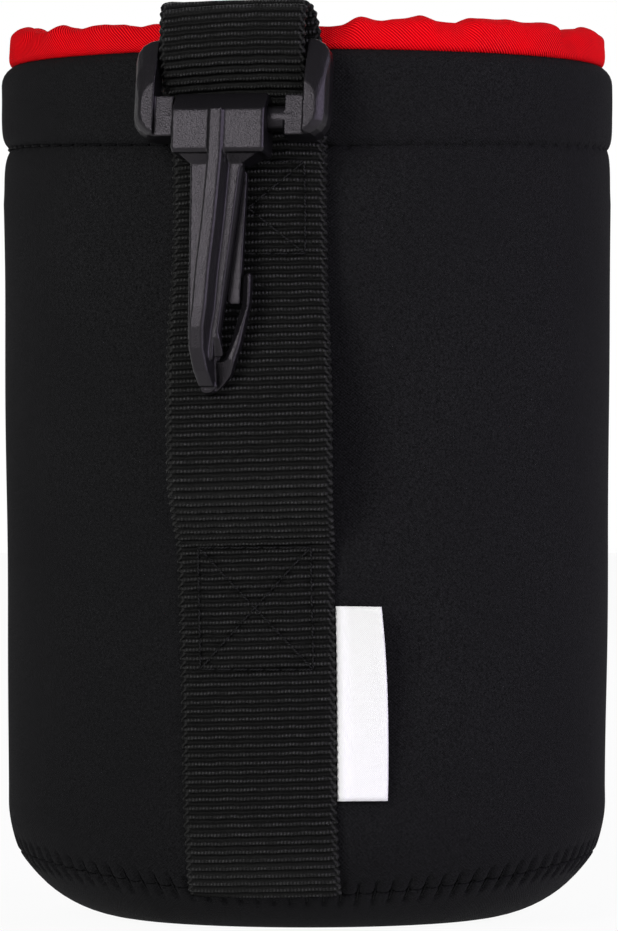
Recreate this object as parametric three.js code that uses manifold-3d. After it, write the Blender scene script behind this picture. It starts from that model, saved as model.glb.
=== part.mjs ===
// Neoprene lens pouch: an oval stitched body, a webbing belt strap that ends in a loop,
// a moulded frame and snap hook hanging from the loop, and a gathered nylon collar in the mouth.
// Millimetres, +Z up. The origin is the middle of the base and the strap side faces -Y.
import * as THREE from 'three';
import { mergeVertices } from 'three/addons/utils/BufferGeometryUtils.js';
import Module from 'manifold-3d';

const wasm = await Module();
wasm.setup();

// Clearances
const touchGap = 0.3;
const overrun = 4;
const aroundBody = 48;

// Neoprene body
const bodyWidth = 94;
const bodyDepth = 87;
const rimHeight = 131.2;
const sheetThickness = 3;
const bodyTaper = 0.9;
const cornerRun = 20;
const cornerRise = 18;
const bandHeight = 14.5;
const bandBulge = 0.2;
const stitchPinch = 0.45;
const stitchGroove = 1.4;
const flapAllowance = 2.2;
const flapStep = 0.8;
const seamFrontHeight = 5.9;
const seamSideRise = 4.5;

// Nylon collar, folded into the mouth
const collarThickness = 0.6;
const collarRise = 5.4;
const collarOverhang = 1.3;
const collarRoll = 7.7;
const collarTuck = 3.4;
const collarRipple = 0.7;
const sleeveDrop = 32.4;
const sleeveInward = 0.9;
const sleeveRipple = 0.5;
const hemTube = 2.6;
const hemHeight = 7;
const hemWall = 0.6;
const cordSlitLength = 7;
const cordSlitHeight = 2;
const gathers = 20;
const stepsPerGather = 3;

// Webbing strap
const strapWidth = 24.4;
const strapThickness = 1.4;
const strapFootX = -6.9;
const strapHeadX = -9.75;
const lowerTackFoot = 39.2;
const lowerTackHeight = 18.7;
const upperTackFoot = 100.6;
const upperTackHeight = 14;
const beltGap = 7.6;
const loopRise = 7;

// Label tab
const labelHeight = 28.7;
const labelFoot = 20.2;
const labelWidth = 6.9;
const labelThickness = 0.6;
const labelLiftTop = 4.2;
const labelLiftFoot = 1.2;

// Moulded frame
const frameHeight = 14.8;
const frameFrontWidth = 26;
const frameDraft = 1.6;
const frameEndDraft = 0.4;
const frameCorner = 3.2;
const frameSlope = 6.4;
const frameDepth = 5.1;
const slotWidth = 22.2;
const topBarRadius = 1.45;
const topBarRise = 15.4;
const lowerBarHeight = 6.3;
const lowerBarRecess = 0.8;
const pivotRadius = 1.8;
const pivotDrop = 10.3;
const pivotForward = 1.3;
const frameLean = 12.2;

// Snap hook, measured from its pivot
const headWidth = 13.8;
const headFront = 4.2;
const headBack = 3.2;
const headTop = 3.6;
const headShoulder = 0.45;
const headFoot = 5.6;
const headChamfer = 0.5;
const headSlide = -1.1;
const boreClearance = 0.3;
const snapMouth = 2.6;
const neckDrop = 1.2;
const neckWidth = 12.6;
const neckFront = 3.2;
const hookLean = 7.6;
const hookLength = 40.5;
const hookBack = 3;
const plateFront = 1.6;
const plateThickness = 2.4;
const spineLeftTop = 4.5;
const spineLeftFoot = 4.15;
const spineRightTop = 3.5;
const spineRightFoot = 0.55;
const spineRightEnd = 1.1;
const spineDropShare = 0.7875;
const webInner = 1.5;
const bodyFront = -0.6;
const noseTipX = 4.55;
const noseTipDropShare = 0.5725;
const noseThickness = 1.2;
const noseKneeX = 4.45;
const noseKneeDropShare = 0.665;
const noseFootX = 3.2;
const chinX = 1.9;
const noseFootDropShare = 0.8225;
const throatDropShare = 0.905;
const hookEdge = 0.3;
const ribWidth = 2.2;
const ribProud = 0.5;
const ribDraft = 1.2;
const ribChamfer = 0.3;

// Spring tongue, measured from the hook's pivot
const tongueRootX = 2.4;
const tongueRootRadius = 1.1;
const tongueTipWidth = 2.05;
const tongueTipDropShare = 0.6725;
const tongueTipBevel = 0.5;

const halfWidth = bodyWidth / 2;
const halfDepth = bodyDepth / 2;
const stitchHeight = rimHeight - bandHeight;
const lerp = THREE.MathUtils.lerp;
const radians = THREE.MathUtils.degToRad;

/** A plastic or cloth surface in one colour. */
function surface(color, roughness) {
  return new THREE.MeshStandardMaterial({ color, roughness, metalness: 0 });
}

/** A named piece of the pouch. */
function piece(name, geometry, material) {
  const mesh = new THREE.Mesh(geometry, material);
  mesh.name = name;
  return mesh;
}

/** Turns the faces the other way where a closed surface was wound inside out. */
function facingOut(geometry) {
  const place = geometry.getAttribute('position');
  const index = geometry.getIndex();
  const [a, b, c] = [new THREE.Vector3(), new THREE.Vector3(), new THREE.Vector3()];
  let volume = 0;
  for (let i = 0; i < index.count; i += 3) {
    a.fromBufferAttribute(place, index.getX(i));
    b.fromBufferAttribute(place, index.getX(i + 1));
    c.fromBufferAttribute(place, index.getX(i + 2));
    volume += a.dot(b.cross(c));
  }
  if (volume < 0) {
    for (let i = 0; i < index.count; i += 3) {
      const first = index.getX(i);
      index.setX(i, index.getX(i + 1));
      index.setX(i + 1, first);
    }
  }
  geometry.computeVertexNormals();
  return geometry;
}

/** Skins rings of points into a closed solid. A ring of one point is a pole. Open ends are zipped shut. */
function skin(rings, closesOnItself = false) {
  const points = rings.flat();
  const faces = [];
  const starts = [];
  let count = 0;
  for (const ring of rings) {
    starts.push(count);
    count += ring.length;
  }
  const steps = closesOnItself ? rings.length : rings.length - 1;
  for (let i = 0; i < steps; i += 1) {
    const next = (i + 1) % rings.length;
    const around = Math.max(rings[i].length, rings[next].length);
    for (let j = 0; j < around; j += 1) {
      const k = (j + 1) % around;
      const [lowA, lowB] = rings[i].length === 1 ? [0, 0] : [j, k];
      const [highA, highB] = rings[next].length === 1 ? [0, 0] : [j, k];
      if (rings[i].length > 1) {
        faces.push(starts[i] + lowA, starts[i] + lowB, starts[next] + highA);
      }
      if (rings[next].length > 1) {
        faces.push(starts[i] + lowB, starts[next] + highB, starts[next] + highA);
      }
    }
  }
  if (!closesOnItself) {
    zip(faces, starts[0], rings[0].length, true);
    zip(faces, starts[rings.length - 1], rings[rings.length - 1].length, false);
  }
  const geometry = new THREE.BufferGeometry().setFromPoints(points);
  geometry.setIndex(faces);
  return facingOut(geometry);
}

/** Closes one end ring with rungs from each side to the other. */
function zip(faces, start, around, flipped) {
  for (let i = 0; i < around / 2 - 1; i += 1) {
    const quad = [start + i, start + i + 1, start + around - 2 - i, start + around - 1 - i];
    const [a, b, c, d] = flipped ? quad.reverse() : quad;
    faces.push(a, b, c);
    faces.push(a, c, d);
  }
}

/** A manifold solid from a three.js geometry. */
function solidOf(geometry) {
  const bare = geometry.clone();
  bare.deleteAttribute('normal');
  bare.deleteAttribute('uv');
  const merged = mergeVertices(bare);
  const vertProperties = new Float32Array(merged.getAttribute('position').array);
  const triVerts = new Uint32Array(merged.getIndex().array);
  return new wasm.Manifold(new wasm.Mesh({ numProp: 3, vertProperties, triVerts }));
}

/** A three.js geometry from a manifold solid. */
function geometryOf(solid) {
  const mesh = solid.getMesh();
  const geometry = new THREE.BufferGeometry();
  geometry.setAttribute('position', new THREE.BufferAttribute(new Float32Array(mesh.vertProperties), 3));
  geometry.setIndex(Array.from(mesh.triVerts));
  geometry.computeVertexNormals();
  return geometry;
}

/** Joins some geometries and cuts others away. */
function joinAndCut(joined, cut) {
  let solid = solidOf(joined[0]);
  for (const geometry of joined.slice(1)) {
    solid = solid.add(solidOf(geometry));
  }
  for (const geometry of cut) {
    solid = solid.subtract(solidOf(geometry));
  }
  return solid;
}

/** A box from its low and high corners. */
function boxBetween(lowX, highX, lowY, highY, lowZ, highZ) {
  const geometry = new THREE.BoxGeometry(highX - lowX, highY - lowY, highZ - lowZ);
  return geometry.translate((lowX + highX) / 2, (lowY + highY) / 2, (lowZ + highZ) / 2);
}

/** A bar along X. */
function barAlongX(radius, length, y, z) {
  return new THREE.CylinderGeometry(radius, radius, length, 20).rotateZ(Math.PI / 2).translate(0, y, z);
}

/** A flat plate with bevelled edges, between two depths. */
function plate(shape, back, front, edge, curveSegments = 5) {
  const geometry = new THREE.ExtrudeGeometry(shape, {
    depth: front - back - 2 * edge,
    bevelEnabled: edge > 0,
    bevelThickness: edge,
    bevelSize: edge,
    bevelOffset: -edge,
    bevelSegments: 1,
    curveSegments,
  });
  return geometry.translate(0, 0, back + edge);
}

// Body

/** A point round the body, set in from its widest outline, at a height. A turn of zero is the front. */
function bodyPoint(turn, inset, height) {
  const across = (halfWidth - inset) * Math.sin(turn);
  return new THREE.Vector3(across, (inset - halfDepth) * Math.cos(turn), height);
}

/** Inset and height on the rounded bottom corner: rise runs from the flat base to the side. */
function cornerPlace(rise, depthIn) {
  const inset = bodyTaper + cornerRun - (cornerRun - depthIn) * Math.sin(rise);
  return [inset, cornerRise - (cornerRise - depthIn) * Math.cos(rise)];
}

/** How far up the corner the base seam lies, higher at the two ends of the oval. */
function seamRise(turn) {
  const height = seamFrontHeight + seamSideRise * Math.sin(turn) ** 2;
  return Math.acos(1 - height / cornerRise);
}

/** Inset of the outer face at a height on the straight side below the band. */
function sideInset(height) {
  return bodyTaper * (1 - (height - cornerRise) / (stitchHeight - cornerRise));
}

const foldMiddle = sheetThickness - bandBulge;
const seamHalfAngle = touchGap / (cornerRun + cornerRise);
const allTurns = Array.from({ length: aroundBody }, (_, i) => (i / aroundBody) * 2 * Math.PI);

/** The wall's section, as inset and height, from the seam up outside, over the fold and down inside. */
function wallSection(turn) {
  const section = [];
  const cornerShares = [0, 0.2, 0.4, 0.6, 0.8, 1];
  const sideShares = [0.25, 0.5, 0.75, 0.93];
  const firstRise = seamRise(turn) + seamHalfAngle;
  for (const share of cornerShares) {
    section.push(cornerPlace(lerp(firstRise, Math.PI / 2, share), 0));
  }
  for (const share of sideShares) {
    const height = lerp(cornerRise, stitchHeight, share);
    section.push([sideInset(height), height]);
  }
  section.push([0, stitchHeight - stitchGroove]);
  section.push([stitchPinch, stitchHeight]);
  section.push([-bandBulge, stitchHeight + stitchGroove]);
  const foldSteps = 8;
  for (let i = 0; i <= foldSteps; i += 1) {
    const angle = (i / foldSteps) * Math.PI;
    const inset = foldMiddle - sheetThickness * Math.cos(angle);
    section.push([inset, rimHeight - sheetThickness + sheetThickness * Math.sin(angle)]);
  }
  const flapInset = foldMiddle + sheetThickness;
  const flapFoot = stitchHeight - flapAllowance;
  section.push([flapInset, stitchHeight + stitchGroove]);
  section.push([flapInset - stitchPinch, stitchHeight]);
  section.push([flapInset - bandBulge, flapFoot]);
  section.push([sheetThickness, flapFoot - flapStep]);
  for (const share of [...sideShares].reverse().slice(1)) {
    const height = lerp(cornerRise, stitchHeight, share);
    section.push([sideInset(height) + sheetThickness, height]);
  }
  for (const share of [...cornerShares].reverse()) {
    section.push(cornerPlace(lerp(firstRise, Math.PI / 2, share), sheetThickness));
  }
  return section;
}

/** The neoprene wall: one sheet closed at the back, its top folded in and stitched down as a band. */
function bodyWall() {
  const sectionAt = (turn) => wallSection(turn).map(([inset, height]) => bodyPoint(turn, inset, height));
  return skin(allTurns.map(sectionAt), true);
}

/** The neoprene base: flat where it stands, turned up to the seam. */
function basePanel() {
  const riseShares = [0, 0.3, 0.55, 0.8, 1];
  const faceRing = (share, depthIn) => allTurns.map((turn) => {
    const rise = lerp(0, seamRise(turn) - seamHalfAngle, share);
    return bodyPoint(turn, ...cornerPlace(rise, depthIn));
  });
  const outside = riseShares.map((share) => faceRing(share, 0));
  const inside = [...riseShares].reverse().map((share) => faceRing(share, sheetThickness));
  return skin([[new THREE.Vector3()], ...outside, ...inside, [new THREE.Vector3(0, 0, sheetThickness)]]);
}

// Collar

const aroundCollar = gathers * stepsPerGather;
const collarTurns = Array.from({ length: aroundCollar }, (_, i) => (i / aroundCollar) * 2 * Math.PI);

/** Depth of the gathers at a turn, from minus one to one, uneven so that no two folds look alike. */
function gather(turn) {
  const [evenShare, unevenShare] = [0.75, 0.25];
  const uneven = Math.sin(3 * turn) * Math.cos(5 * turn);
  return (evenShare + unevenShare * uneven) * Math.sin(gathers * turn);
}

/** Rings round a cloth tube whose mid line is a list of inset, height and ripple. */
function clothTube(midLine, thickness) {
  return collarTurns.map((turn) => {
    const line = midLine.map(([inset, height, ripple]) => new THREE.Vector2(
      inset + ripple * gather(turn),
      height + ripple * gather(turn + 1 / gathers) / 2,
    ));
    const sideOf = (sign) => line.map((point, i) => {
      const before = line[Math.max(i - 1, 0)];
      const after = line[Math.min(i + 1, line.length - 1)];
      const across = after.clone().sub(before).normalize();
      return bodyPoint(
        turn,
        point.x + (sign * thickness * across.y) / 2,
        point.y - (sign * thickness * across.x) / 2,
      );
    });
    return [...sideOf(1), ...sideOf(-1).reverse()];
  });
}

const overRimRadius = sheetThickness + touchGap + collarThickness;
const collarInnerInset = collarOverhang + collarRoll;
const collarTop = rimHeight + collarRise;
const collarFootHeight = rimHeight - collarTuck;

/** The stitched end of the collar: up from the band's stitching, over the rim and back down inside. */
function collarFold() {
  const middle = (collarOverhang + collarInnerInset) / 2;
  const overRim = (angle) => [
    foldMiddle + overRimRadius * Math.cos(angle),
    rimHeight - sheetThickness + overRimRadius * Math.sin(angle),
    0,
  ];
  const [halfwayShare, nearlyTopShare, outerShare, innerShare] = [0.42, 0.75, 0.2, 0.75];
  const [slightShare, partShare] = [0.3, 0.6];
  const shoulderHeight = lerp(rimHeight, collarTop, nearlyTopShare);
  const midLine = [
    [foldMiddle + overRimRadius, stitchHeight + stitchGroove, 0],
    overRim(0),
    overRim(Math.PI / 4),
    overRim(Math.PI / 2),
    [collarOverhang + touchGap, lerp(rimHeight, collarTop, halfwayShare), collarRipple * slightShare],
    [lerp(collarOverhang, middle, outerShare), shoulderHeight, collarRipple],
    [middle, collarTop - collarThickness, collarRipple],
    [lerp(middle, collarInnerInset, innerShare), shoulderHeight, collarRipple],
    [collarInnerInset, rimHeight, collarRipple * partShare],
    [collarInnerInset, collarFootHeight, collarRipple * slightShare],
  ];
  return skin(clothTube(midLine, collarThickness), true);
}

const sleeveTop = collarFootHeight - touchGap;
const sleeveFoot = sleeveTop - sleeveDrop;
const sleeveInset = collarInnerInset + collarThickness;

/** The loose length of the collar that hangs inside and is pulled up over the lens. */
function collarSleeve() {
  const midLine = [0, 0.35, 0.7, 1].map((share) => [
    sleeveInset + sleeveInward * share,
    lerp(sleeveTop, sleeveFoot, share),
    sleeveRipple * (1 - share) * share * 4,
  ]);
  return skin(clothTube(midLine, collarThickness), true);
}

/** A closed tube round the mouth with an upright oval section. */
function ovalRing(inset, height, across, tall) {
  const sides = 8;
  const rings = allTurns.map((turn) => Array.from({ length: sides }, (_, i) => {
    const angle = (i / sides) * 2 * Math.PI;
    return bodyPoint(turn, inset + (across / 2) * Math.cos(angle), height + (tall / 2) * Math.sin(angle));
  }));
  return skin(rings, true);
}

/** The hem at the collar's free end, with a channel for a drawcord and the slit where it would come out. */
function collarHem() {
  const inset = sleeveInset + sleeveInward + hemTube / 3;
  const height = sleeveFoot - touchGap - hemHeight / 2;
  const outer = ovalRing(inset, height, hemTube, hemHeight);
  const channel = ovalRing(inset, height, hemTube - 2 * hemWall, hemHeight - 2 * hemWall);
  const backFace = halfDepth - inset;
  const slit = boxBetween(
    -cordSlitLength / 2, cordSlitLength / 2,
    backFace - hemTube, backFace,
    height - cordSlitHeight / 2, height + cordSlitHeight / 2,
  );
  return geometryOf(joinAndCut([outer], [channel, slit]));
}

// Strap

/** Where a ribbon lies on the widest outline at an x: its foot point, outward and sideways axes and bend. */
function outlinePlace(x) {
  const turn = Math.asin(x / halfWidth);
  const foot = bodyPoint(turn, 0, 0);
  const out = new THREE.Vector3(Math.sin(turn) / halfWidth, -Math.cos(turn) / halfDepth, 0).normalize();
  const side = new THREE.Vector3(-out.y, out.x, 0);
  const spread = (halfWidth * Math.cos(turn)) ** 2 + (halfDepth * Math.sin(turn)) ** 2;
  return { foot, out, side, bend: (halfWidth * halfDepth) / spread ** 1.5 };
}

const sewnLift = touchGap + strapThickness / 2;
const rearLift = bandBulge + sewnLift;
const frontLift = rearLift + strapThickness + touchGap;
const topBarLift = rearLift + strapThickness / 2 + touchGap + topBarRadius;
const overBarLift = topBarLift + topBarRadius + touchGap + strapThickness / 2;
const lowerTackTop = lowerTackFoot + lowerTackHeight;
const upperTackTop = upperTackFoot + upperTackHeight;
const topBarHeight = upperTackTop + topBarRise;

/** One stretch of the strap's run: its heights and lifts, and its shares of lean, width and bend. */
function stretch(heights, lifts, leanWidthBendShares) {
  return heights.map((height, i) => {
    const [leanShare, widthShare, bendShare] = leanWidthBendShares[i];
    return { height, lift: lifts[i], leanShare, widthShare, bendShare };
  });
}

/** The strap where it is sewn down, from the base seam up the corner and the wall to the lower tack. */
function sewnStretch() {
  const cornerShares = [0, 0.25, 0.5, 0.75];
  const cornerHeights = cornerShares.map((share) => lerp(seamFrontHeight + touchGap, cornerRise, share));
  const cornerLifts = cornerHeights.map((height) => {
    const fall = Math.sqrt(1 - (1 - height / cornerRise) ** 2);
    return sewnLift / fall - bodyTaper - cornerRun * (1 - fall);
  });
  const halfwayShare = 0.5;
  const tackShare = 0.75;
  const wallHeights = [
    cornerRise,
    lerp(cornerRise, lowerTackFoot, halfwayShare),
    lowerTackFoot,
    lerp(lowerTackFoot, lowerTackTop, tackShare),
  ];
  const wallLifts = wallHeights.map((height) => sewnLift - sideInset(height));
  const leanWidthBendShares = [
    [0, 0.93, 1],
    [0, 0.93, 1],
    [0, 0.93, 1],
    [0, 0.93, 1],
    [0.05, 0.93, 1],
    [0.1, 0.935, 1],
    [0.15, 0.94, 1],
    [0.25, 0.95, 1],
  ];
  return stretch([...cornerHeights, ...wallHeights], [...cornerLifts, ...wallLifts], leanWidthBendShares);
}

/** The strap where the belt goes behind it, bowed out between the two tacks. */
function beltStretch() {
  const heightShares = [0.01, 0.1, 0.22, 0.38, 0.55, 0.76, 0.95];
  const liftShares = [0, 0.42, 0.86, 1, 0.92, 0.6];
  const heights = heightShares.map((share) => lerp(lowerTackTop, upperTackFoot, share));
  const bow = beltGap + strapThickness / 2;
  const lifts = liftShares.map((share) => lerp(sewnLift, bow, share));
  return stretch(heights, [...lifts, frontLift + touchGap], [
    [0.25, 0.965, 0.9],
    [0.22, 0.98, 0.6],
    [0.16, 1, 0.3],
    [0.13, 1, 0.2],
    [0.18, 1, 0.3],
    [0.32, 0.98, 0.6],
    [0.41, 0.945, 0.9],
  ]);
}

/** The strap's front layer, over the upper tack, out behind the lower bar and up to the top bar. */
function frontStretch() {
  const tackShare = 0.4;
  const dropShares = [0.728, 0.499, 0.364, 0.146, 0];
  const liftShares = [0, 0.02, 0.22, 0.75, 1];
  const tackHeights = [lerp(upperTackFoot, upperTackTop, tackShare), upperTackTop];
  const heights = dropShares.map((share) => topBarHeight - frameHeight * share);
  const lifts = liftShares.map((share) => lerp(frontLift, overBarLift, share));
  return stretch([...tackHeights, ...heights], [frontLift, frontLift, ...lifts], [
    [0.42, 0.93, 1],
    [0.48, 0.93, 1],
    [0.78, 0.9, 0.8],
    [0.95, 0.885, 0.5],
    [1, 0.885, 0.3],
    [1, 0.885, 0.2],
    [1, 0.885, 0.15],
  ]);
}

/** The strap over the top bar and down behind it to its end behind the upper tack. */
function rearStretch() {
  const riseShares = [0.45, 0.85, 1, 0.85, 0.45, 0];
  const endShare = 0.4;
  const liftShare = 0.7;
  const heights = riseShares.map((share) => topBarHeight + loopRise * share);
  const endHeights = [
    lerp(upperTackTop, topBarHeight, endShare),
    upperTackTop,
    upperTackFoot + strapThickness,
  ];
  const lifts = [
    overBarLift,
    lerp(topBarLift, overBarLift, liftShare),
    topBarLift,
    lerp(topBarLift, rearLift, liftShare),
  ];
  const rearLifts = Array(heights.length + endHeights.length - lifts.length).fill(rearLift);
  return stretch([...heights, ...endHeights], [...lifts, ...rearLifts], [
    [1, 0.885, 0.15],
    [1, 0.89, 0.15],
    [1, 0.905, 0.2],
    [1, 0.95, 0.3],
    [1, 0.985, 0.7],
    [1, 1, 1],
    [0.8, 0.985, 1],
    [0.48, 0.93, 1],
    [0.4, 0.9, 1],
  ]);
}

/** Places along the strap, with the values between two of them blended. */
function strapStations(stepsPerPlace) {
  const run = [...sewnStretch(), ...beltStretch(), ...frontStretch(), ...rearStretch()];
  const route = new THREE.CatmullRomCurve3(
    run.map((place) => new THREE.Vector3(place.leanShare, place.height / rimHeight, place.lift / rimHeight)),
    false,
    'centripetal',
  );
  const stations = [];
  const total = (run.length - 1) * stepsPerPlace;
  for (let i = 0; i <= total; i += 1) {
    const at = i / stepsPerPlace;
    const low = Math.min(Math.floor(at), run.length - 2);
    const point = route.getPoint(i / total);
    stations.push({
      x: lerp(strapFootX, strapHeadX, point.x),
      height: point.y * rimHeight,
      lift: point.z * rimHeight,
      width: strapWidth * lerp(run[low].widthShare, run[low + 1].widthShare, at - low),
      bendShare: lerp(run[low].bendShare, run[low + 1].bendShare, at - low),
    });
  }
  return stations;
}

/** A ring round the strap at one station, outer face left to right and inner face right to left. */
function strapRing(stations, i) {
  const here = stations[i];
  const before = stations[Math.max(i - 1, 0)];
  const after = stations[Math.min(i + 1, stations.length - 1)];
  const along = new THREE.Vector2(after.lift - before.lift, after.height - before.height).normalize();
  const { foot, out, side, bend } = outlinePlace(here.x);
  const away = out.clone().multiplyScalar(along.y).setZ(-along.x);
  const middle = foot.clone().addScaledVector(out, here.lift).setZ(here.height);
  const acrossShares = [-1, -0.5, 0, 0.5, 1];
  const face = (sign) => acrossShares.map((share) => {
    const across = (share * here.width) / 2;
    const sag = (here.bendShare * bend * across ** 2) / 2;
    const edge = Math.abs(share) === 1 ? strapThickness / 5 : 0;
    return middle.clone()
      .addScaledVector(side, across)
      .addScaledVector(out, -sag)
      .addScaledVector(away, sign * (strapThickness / 2 - edge));
  });
  return [...face(1), ...face(-1).reverse()];
}

/** The webbing, one length from the base seam to its end behind the upper tack. */
function beltStrap() {
  const stations = strapStations(3);
  return skin(stations.map((_, i) => strapRing(stations, i)));
}

/** The tab sewn into the strap's right edge, its free edge standing off the wall. */
function blankLabel() {
  const stations = strapStations(3);
  const foot = labelFoot;
  const steps = 8;
  const rings = Array.from({ length: steps + 1 }, (_, i) => {
    const share = i / steps;
    const height = lerp(foot + labelHeight, foot, share);
    const near = stations.find((station) => station.height >= height);
    const { foot: middle, side } = outlinePlace(near.x);
    const rootX = middle.x + side.x * (near.width / 2 + touchGap + touchGap / 2);
    const lift = lerp(labelLiftTop, labelLiftFoot, share);
    const acrossShares = [0, 0.5, 1];
    const reach = Math.sqrt(labelWidth ** 2 - lift ** 2);
    const face = (thick) => acrossShares.map((part) => {
      const turn = Math.asin((rootX + reach * part) / halfWidth);
      return bodyPoint(turn, sideInset(height) - touchGap - lift * part ** 1.5 - thick, height);
    });
    return [...face(labelThickness), ...face(0).reverse()];
  });
  return skin(rings);
}

// Frame

/** A rounded rectangle as a ring of points at one depth. */
function rectangleRing(halfAcross, bottom, top, radius, depth) {
  const perCorner = 5;
  const corners = [[1, top], [-1, top], [-1, bottom], [1, bottom]];
  return corners.flatMap(([sideways, level], quarter) => {
    const x = sideways * (halfAcross - radius);
    const y = level === top ? top - radius : bottom + radius;
    return Array.from({ length: perCorner }, (_, i) => {
      const angle = (quarter + i / (perCorner - 1)) * (Math.PI / 2);
      return new THREE.Vector3(x + radius * Math.cos(angle), y + radius * Math.sin(angle), depth);
    });
  });
}

const frameTop = topBarRadius;
const frameFoot = frameTop - frameHeight;
const frameBack = pivotForward - frameDepth / 2;
const frameFront = pivotForward + frameDepth / 2;
const barTop = lowerBarHeight / 2 - pivotDrop;

/** The moulded frame, measured from its top bar: two arms that slope back, the top bar and the hook's pivot. */
function loopFrame() {
  const draftShares = [[0, 0.12], [0.08, 0], [0.5, 0.05], [0.78, 0.3], [0.93, 0.7], [1, 1]];
  const slopeShares = [0, 0, 0, 0.52, 0.84, 1];
  const rings = draftShares.map(([depthShare, share], i) => rectangleRing(
    frameFrontWidth / 2 + frameDraft * (1 - share),
    frameFoot + frameEndDraft * share,
    frameTop + frameEndDraft * (1 - share) - frameSlope * slopeShares[i],
    frameCorner,
    lerp(frameBack, frameFront, depthShare),
  ));
  const halfSlot = slotWidth / 2;
  const pivotHalf = headWidth / 2 + Math.abs(headSlide) + touchGap;
  const slot = boxBetween(
    -halfSlot, halfSlot, barTop, frameTop + overrun, frameBack - overrun, frameFront + overrun);
  const recessBack = frameFront - lowerBarRecess;
  const recess = boxBetween(
    -halfSlot, halfSlot, frameFoot - overrun, barTop + overrun, recessBack, frameFront + overrun);
  const hookRoom = boxBetween(
    -pivotHalf, pivotHalf, frameFoot - overrun, barTop + overrun, frameBack - overrun, frameFront + overrun);
  const upper = joinAndCut([skin(rings)], [slot, recess, hookRoom]);
  const topBar = solidOf(barAlongX(topBarRadius, slotWidth + topBarRadius, 0, 0));
  const pivot = solidOf(barAlongX(pivotRadius, 2 * pivotHalf + pivotRadius, -pivotDrop, pivotForward));
  return geometryOf(upper.add(topBar).add(pivot));
}

// Hook

const spineDrop = hookLength * spineDropShare;
const noseTipDrop = hookLength * noseTipDropShare;
const noseKneeDrop = hookLength * noseKneeDropShare;
const noseFootDrop = hookLength * noseFootDropShare;
const throatDrop = hookLength * throatDropShare;

/** The head: a rounded barrel with a flat front block, bored for the pivot and split behind to snap on. */
function hookHead() {
  const section = new THREE.Shape();
  section.moveTo(headFront, headChamfer - headFoot);
  section.lineTo(headFront, headShoulder);
  section.quadraticCurveTo(headFront, headTop, headChamfer, headTop);
  section.quadraticCurveTo(-headBack, headTop, -headBack, 0);
  section.lineTo(headChamfer - headBack, -headFoot);
  section.lineTo(headFront - headChamfer, -headFoot);
  section.closePath();
  return plate(section, -headWidth / 2, headWidth / 2, hookEdge).rotateY(-Math.PI / 2);
}

/** The tapered neck between the head and the spine. */
function hookNeck() {
  const shape = new THREE.Shape();
  shape.moveTo(-neckWidth / 2, hookEdge - headFoot);
  shape.lineTo(-spineLeftTop, -headFoot - neckDrop);
  shape.lineTo(tongueRootX + tongueRootRadius, -headFoot - neckDrop);
  shape.lineTo(neckWidth / 2, hookEdge - headFoot);
  shape.closePath();
  return plate(shape, hookEdge - hookBack, neckFront, 0);
}

/** The front plate of the spine, narrowing towards the bend. */
function spinePlate() {
  const footShare = 0.8;
  const bendShare = 0.86;
  const footDrop = lerp(spineDrop, throatDrop, footShare);
  const shape = new THREE.Shape();
  shape.moveTo(-spineLeftTop, -headFoot);
  shape.lineTo(-spineLeftFoot, -spineDrop);
  shape.lineTo(-spineLeftFoot * bendShare, -footDrop);
  shape.lineTo(spineRightEnd, -footDrop);
  shape.lineTo(spineRightFoot, -spineDrop);
  shape.lineTo(spineRightTop, -headFoot);
  shape.closePath();
  return plate(shape, plateFront - plateThickness, plateFront, hookEdge);
}

/** The hook in outline: the spine's web, the pointed bend and the nose. */
function hookBend() {
  const [bendShare, chinShare, noseShare] = [0.62, 0.6, 0.8];
  const shape = new THREE.Shape();
  shape.moveTo(-spineLeftTop, -headFoot);
  shape.lineTo(-spineLeftFoot, -spineDrop);
  const bendDrop = lerp(spineDrop, hookLength, bendShare);
  const chinDrop = lerp(noseFootDrop, hookLength, chinShare);
  shape.quadraticCurveTo(-spineLeftFoot, -bendDrop, -spineLeftTop / 2, hookEdge - hookLength);
  shape.quadraticCurveTo(-webInner / 2, -hookLength - 2 * hookEdge, chinX, -chinDrop);
  shape.lineTo(noseFootX, -noseFootDrop);
  shape.lineTo(noseKneeX, -noseKneeDrop);
  shape.lineTo(noseTipX, -noseTipDrop);
  shape.quadraticCurveTo(noseTipX, -noseTipDrop + noseThickness, noseTipX - noseThickness, -noseTipDrop);
  shape.lineTo(noseKneeX - noseThickness, -noseKneeDrop);
  shape.lineTo(noseFootX - noseThickness, -lerp(noseKneeDrop, noseFootDrop, noseShare));
  shape.quadraticCurveTo(spineRightEnd, -throatDrop, -webInner, -noseFootDrop);
  shape.lineTo(-webInner, -headFoot);
  shape.closePath();
  return plate(shape, -hookBack, bodyFront, hookEdge);
}

/** The rib that runs down the head and the spine, leaning with it and sloping back at the bend. */
function hookRib() {
  const root = bodyFront - hookEdge;
  const full = headFront + ribProud;
  const dropShares = [-0.024, 0.155, 0.38, 0.565, 0.7, 0.775, 0.85, 0.925, 0.975];
  const leanShares = [0.04, 0.07, 0.22, 0.39, 0.47, 0.56, 0.58, 0.47, 0.36];
  const heightShares = [1, 1, 1, 1, 1, 0.95, 0.81, 0.58, 0.2];
  const rings = dropShares.map((share, i) => {
    const middle = -spineLeftFoot * leanShares[i];
    const front = lerp(root, full, heightShares[i]);
    const y = -hookLength * share;
    const half = ribWidth / 2;
    return [
      new THREE.Vector3(middle - half, y, root),
      new THREE.Vector3(middle - half, y, front - ribChamfer),
      new THREE.Vector3(middle - half + ribChamfer, y, front),
      new THREE.Vector3(middle + half - ribChamfer, y, front),
      new THREE.Vector3(middle + half, y, front - ribChamfer),
      new THREE.Vector3(middle + half + ribDraft * heightShares[i], y, root),
    ];
  });
  return skin(rings);
}

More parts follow.
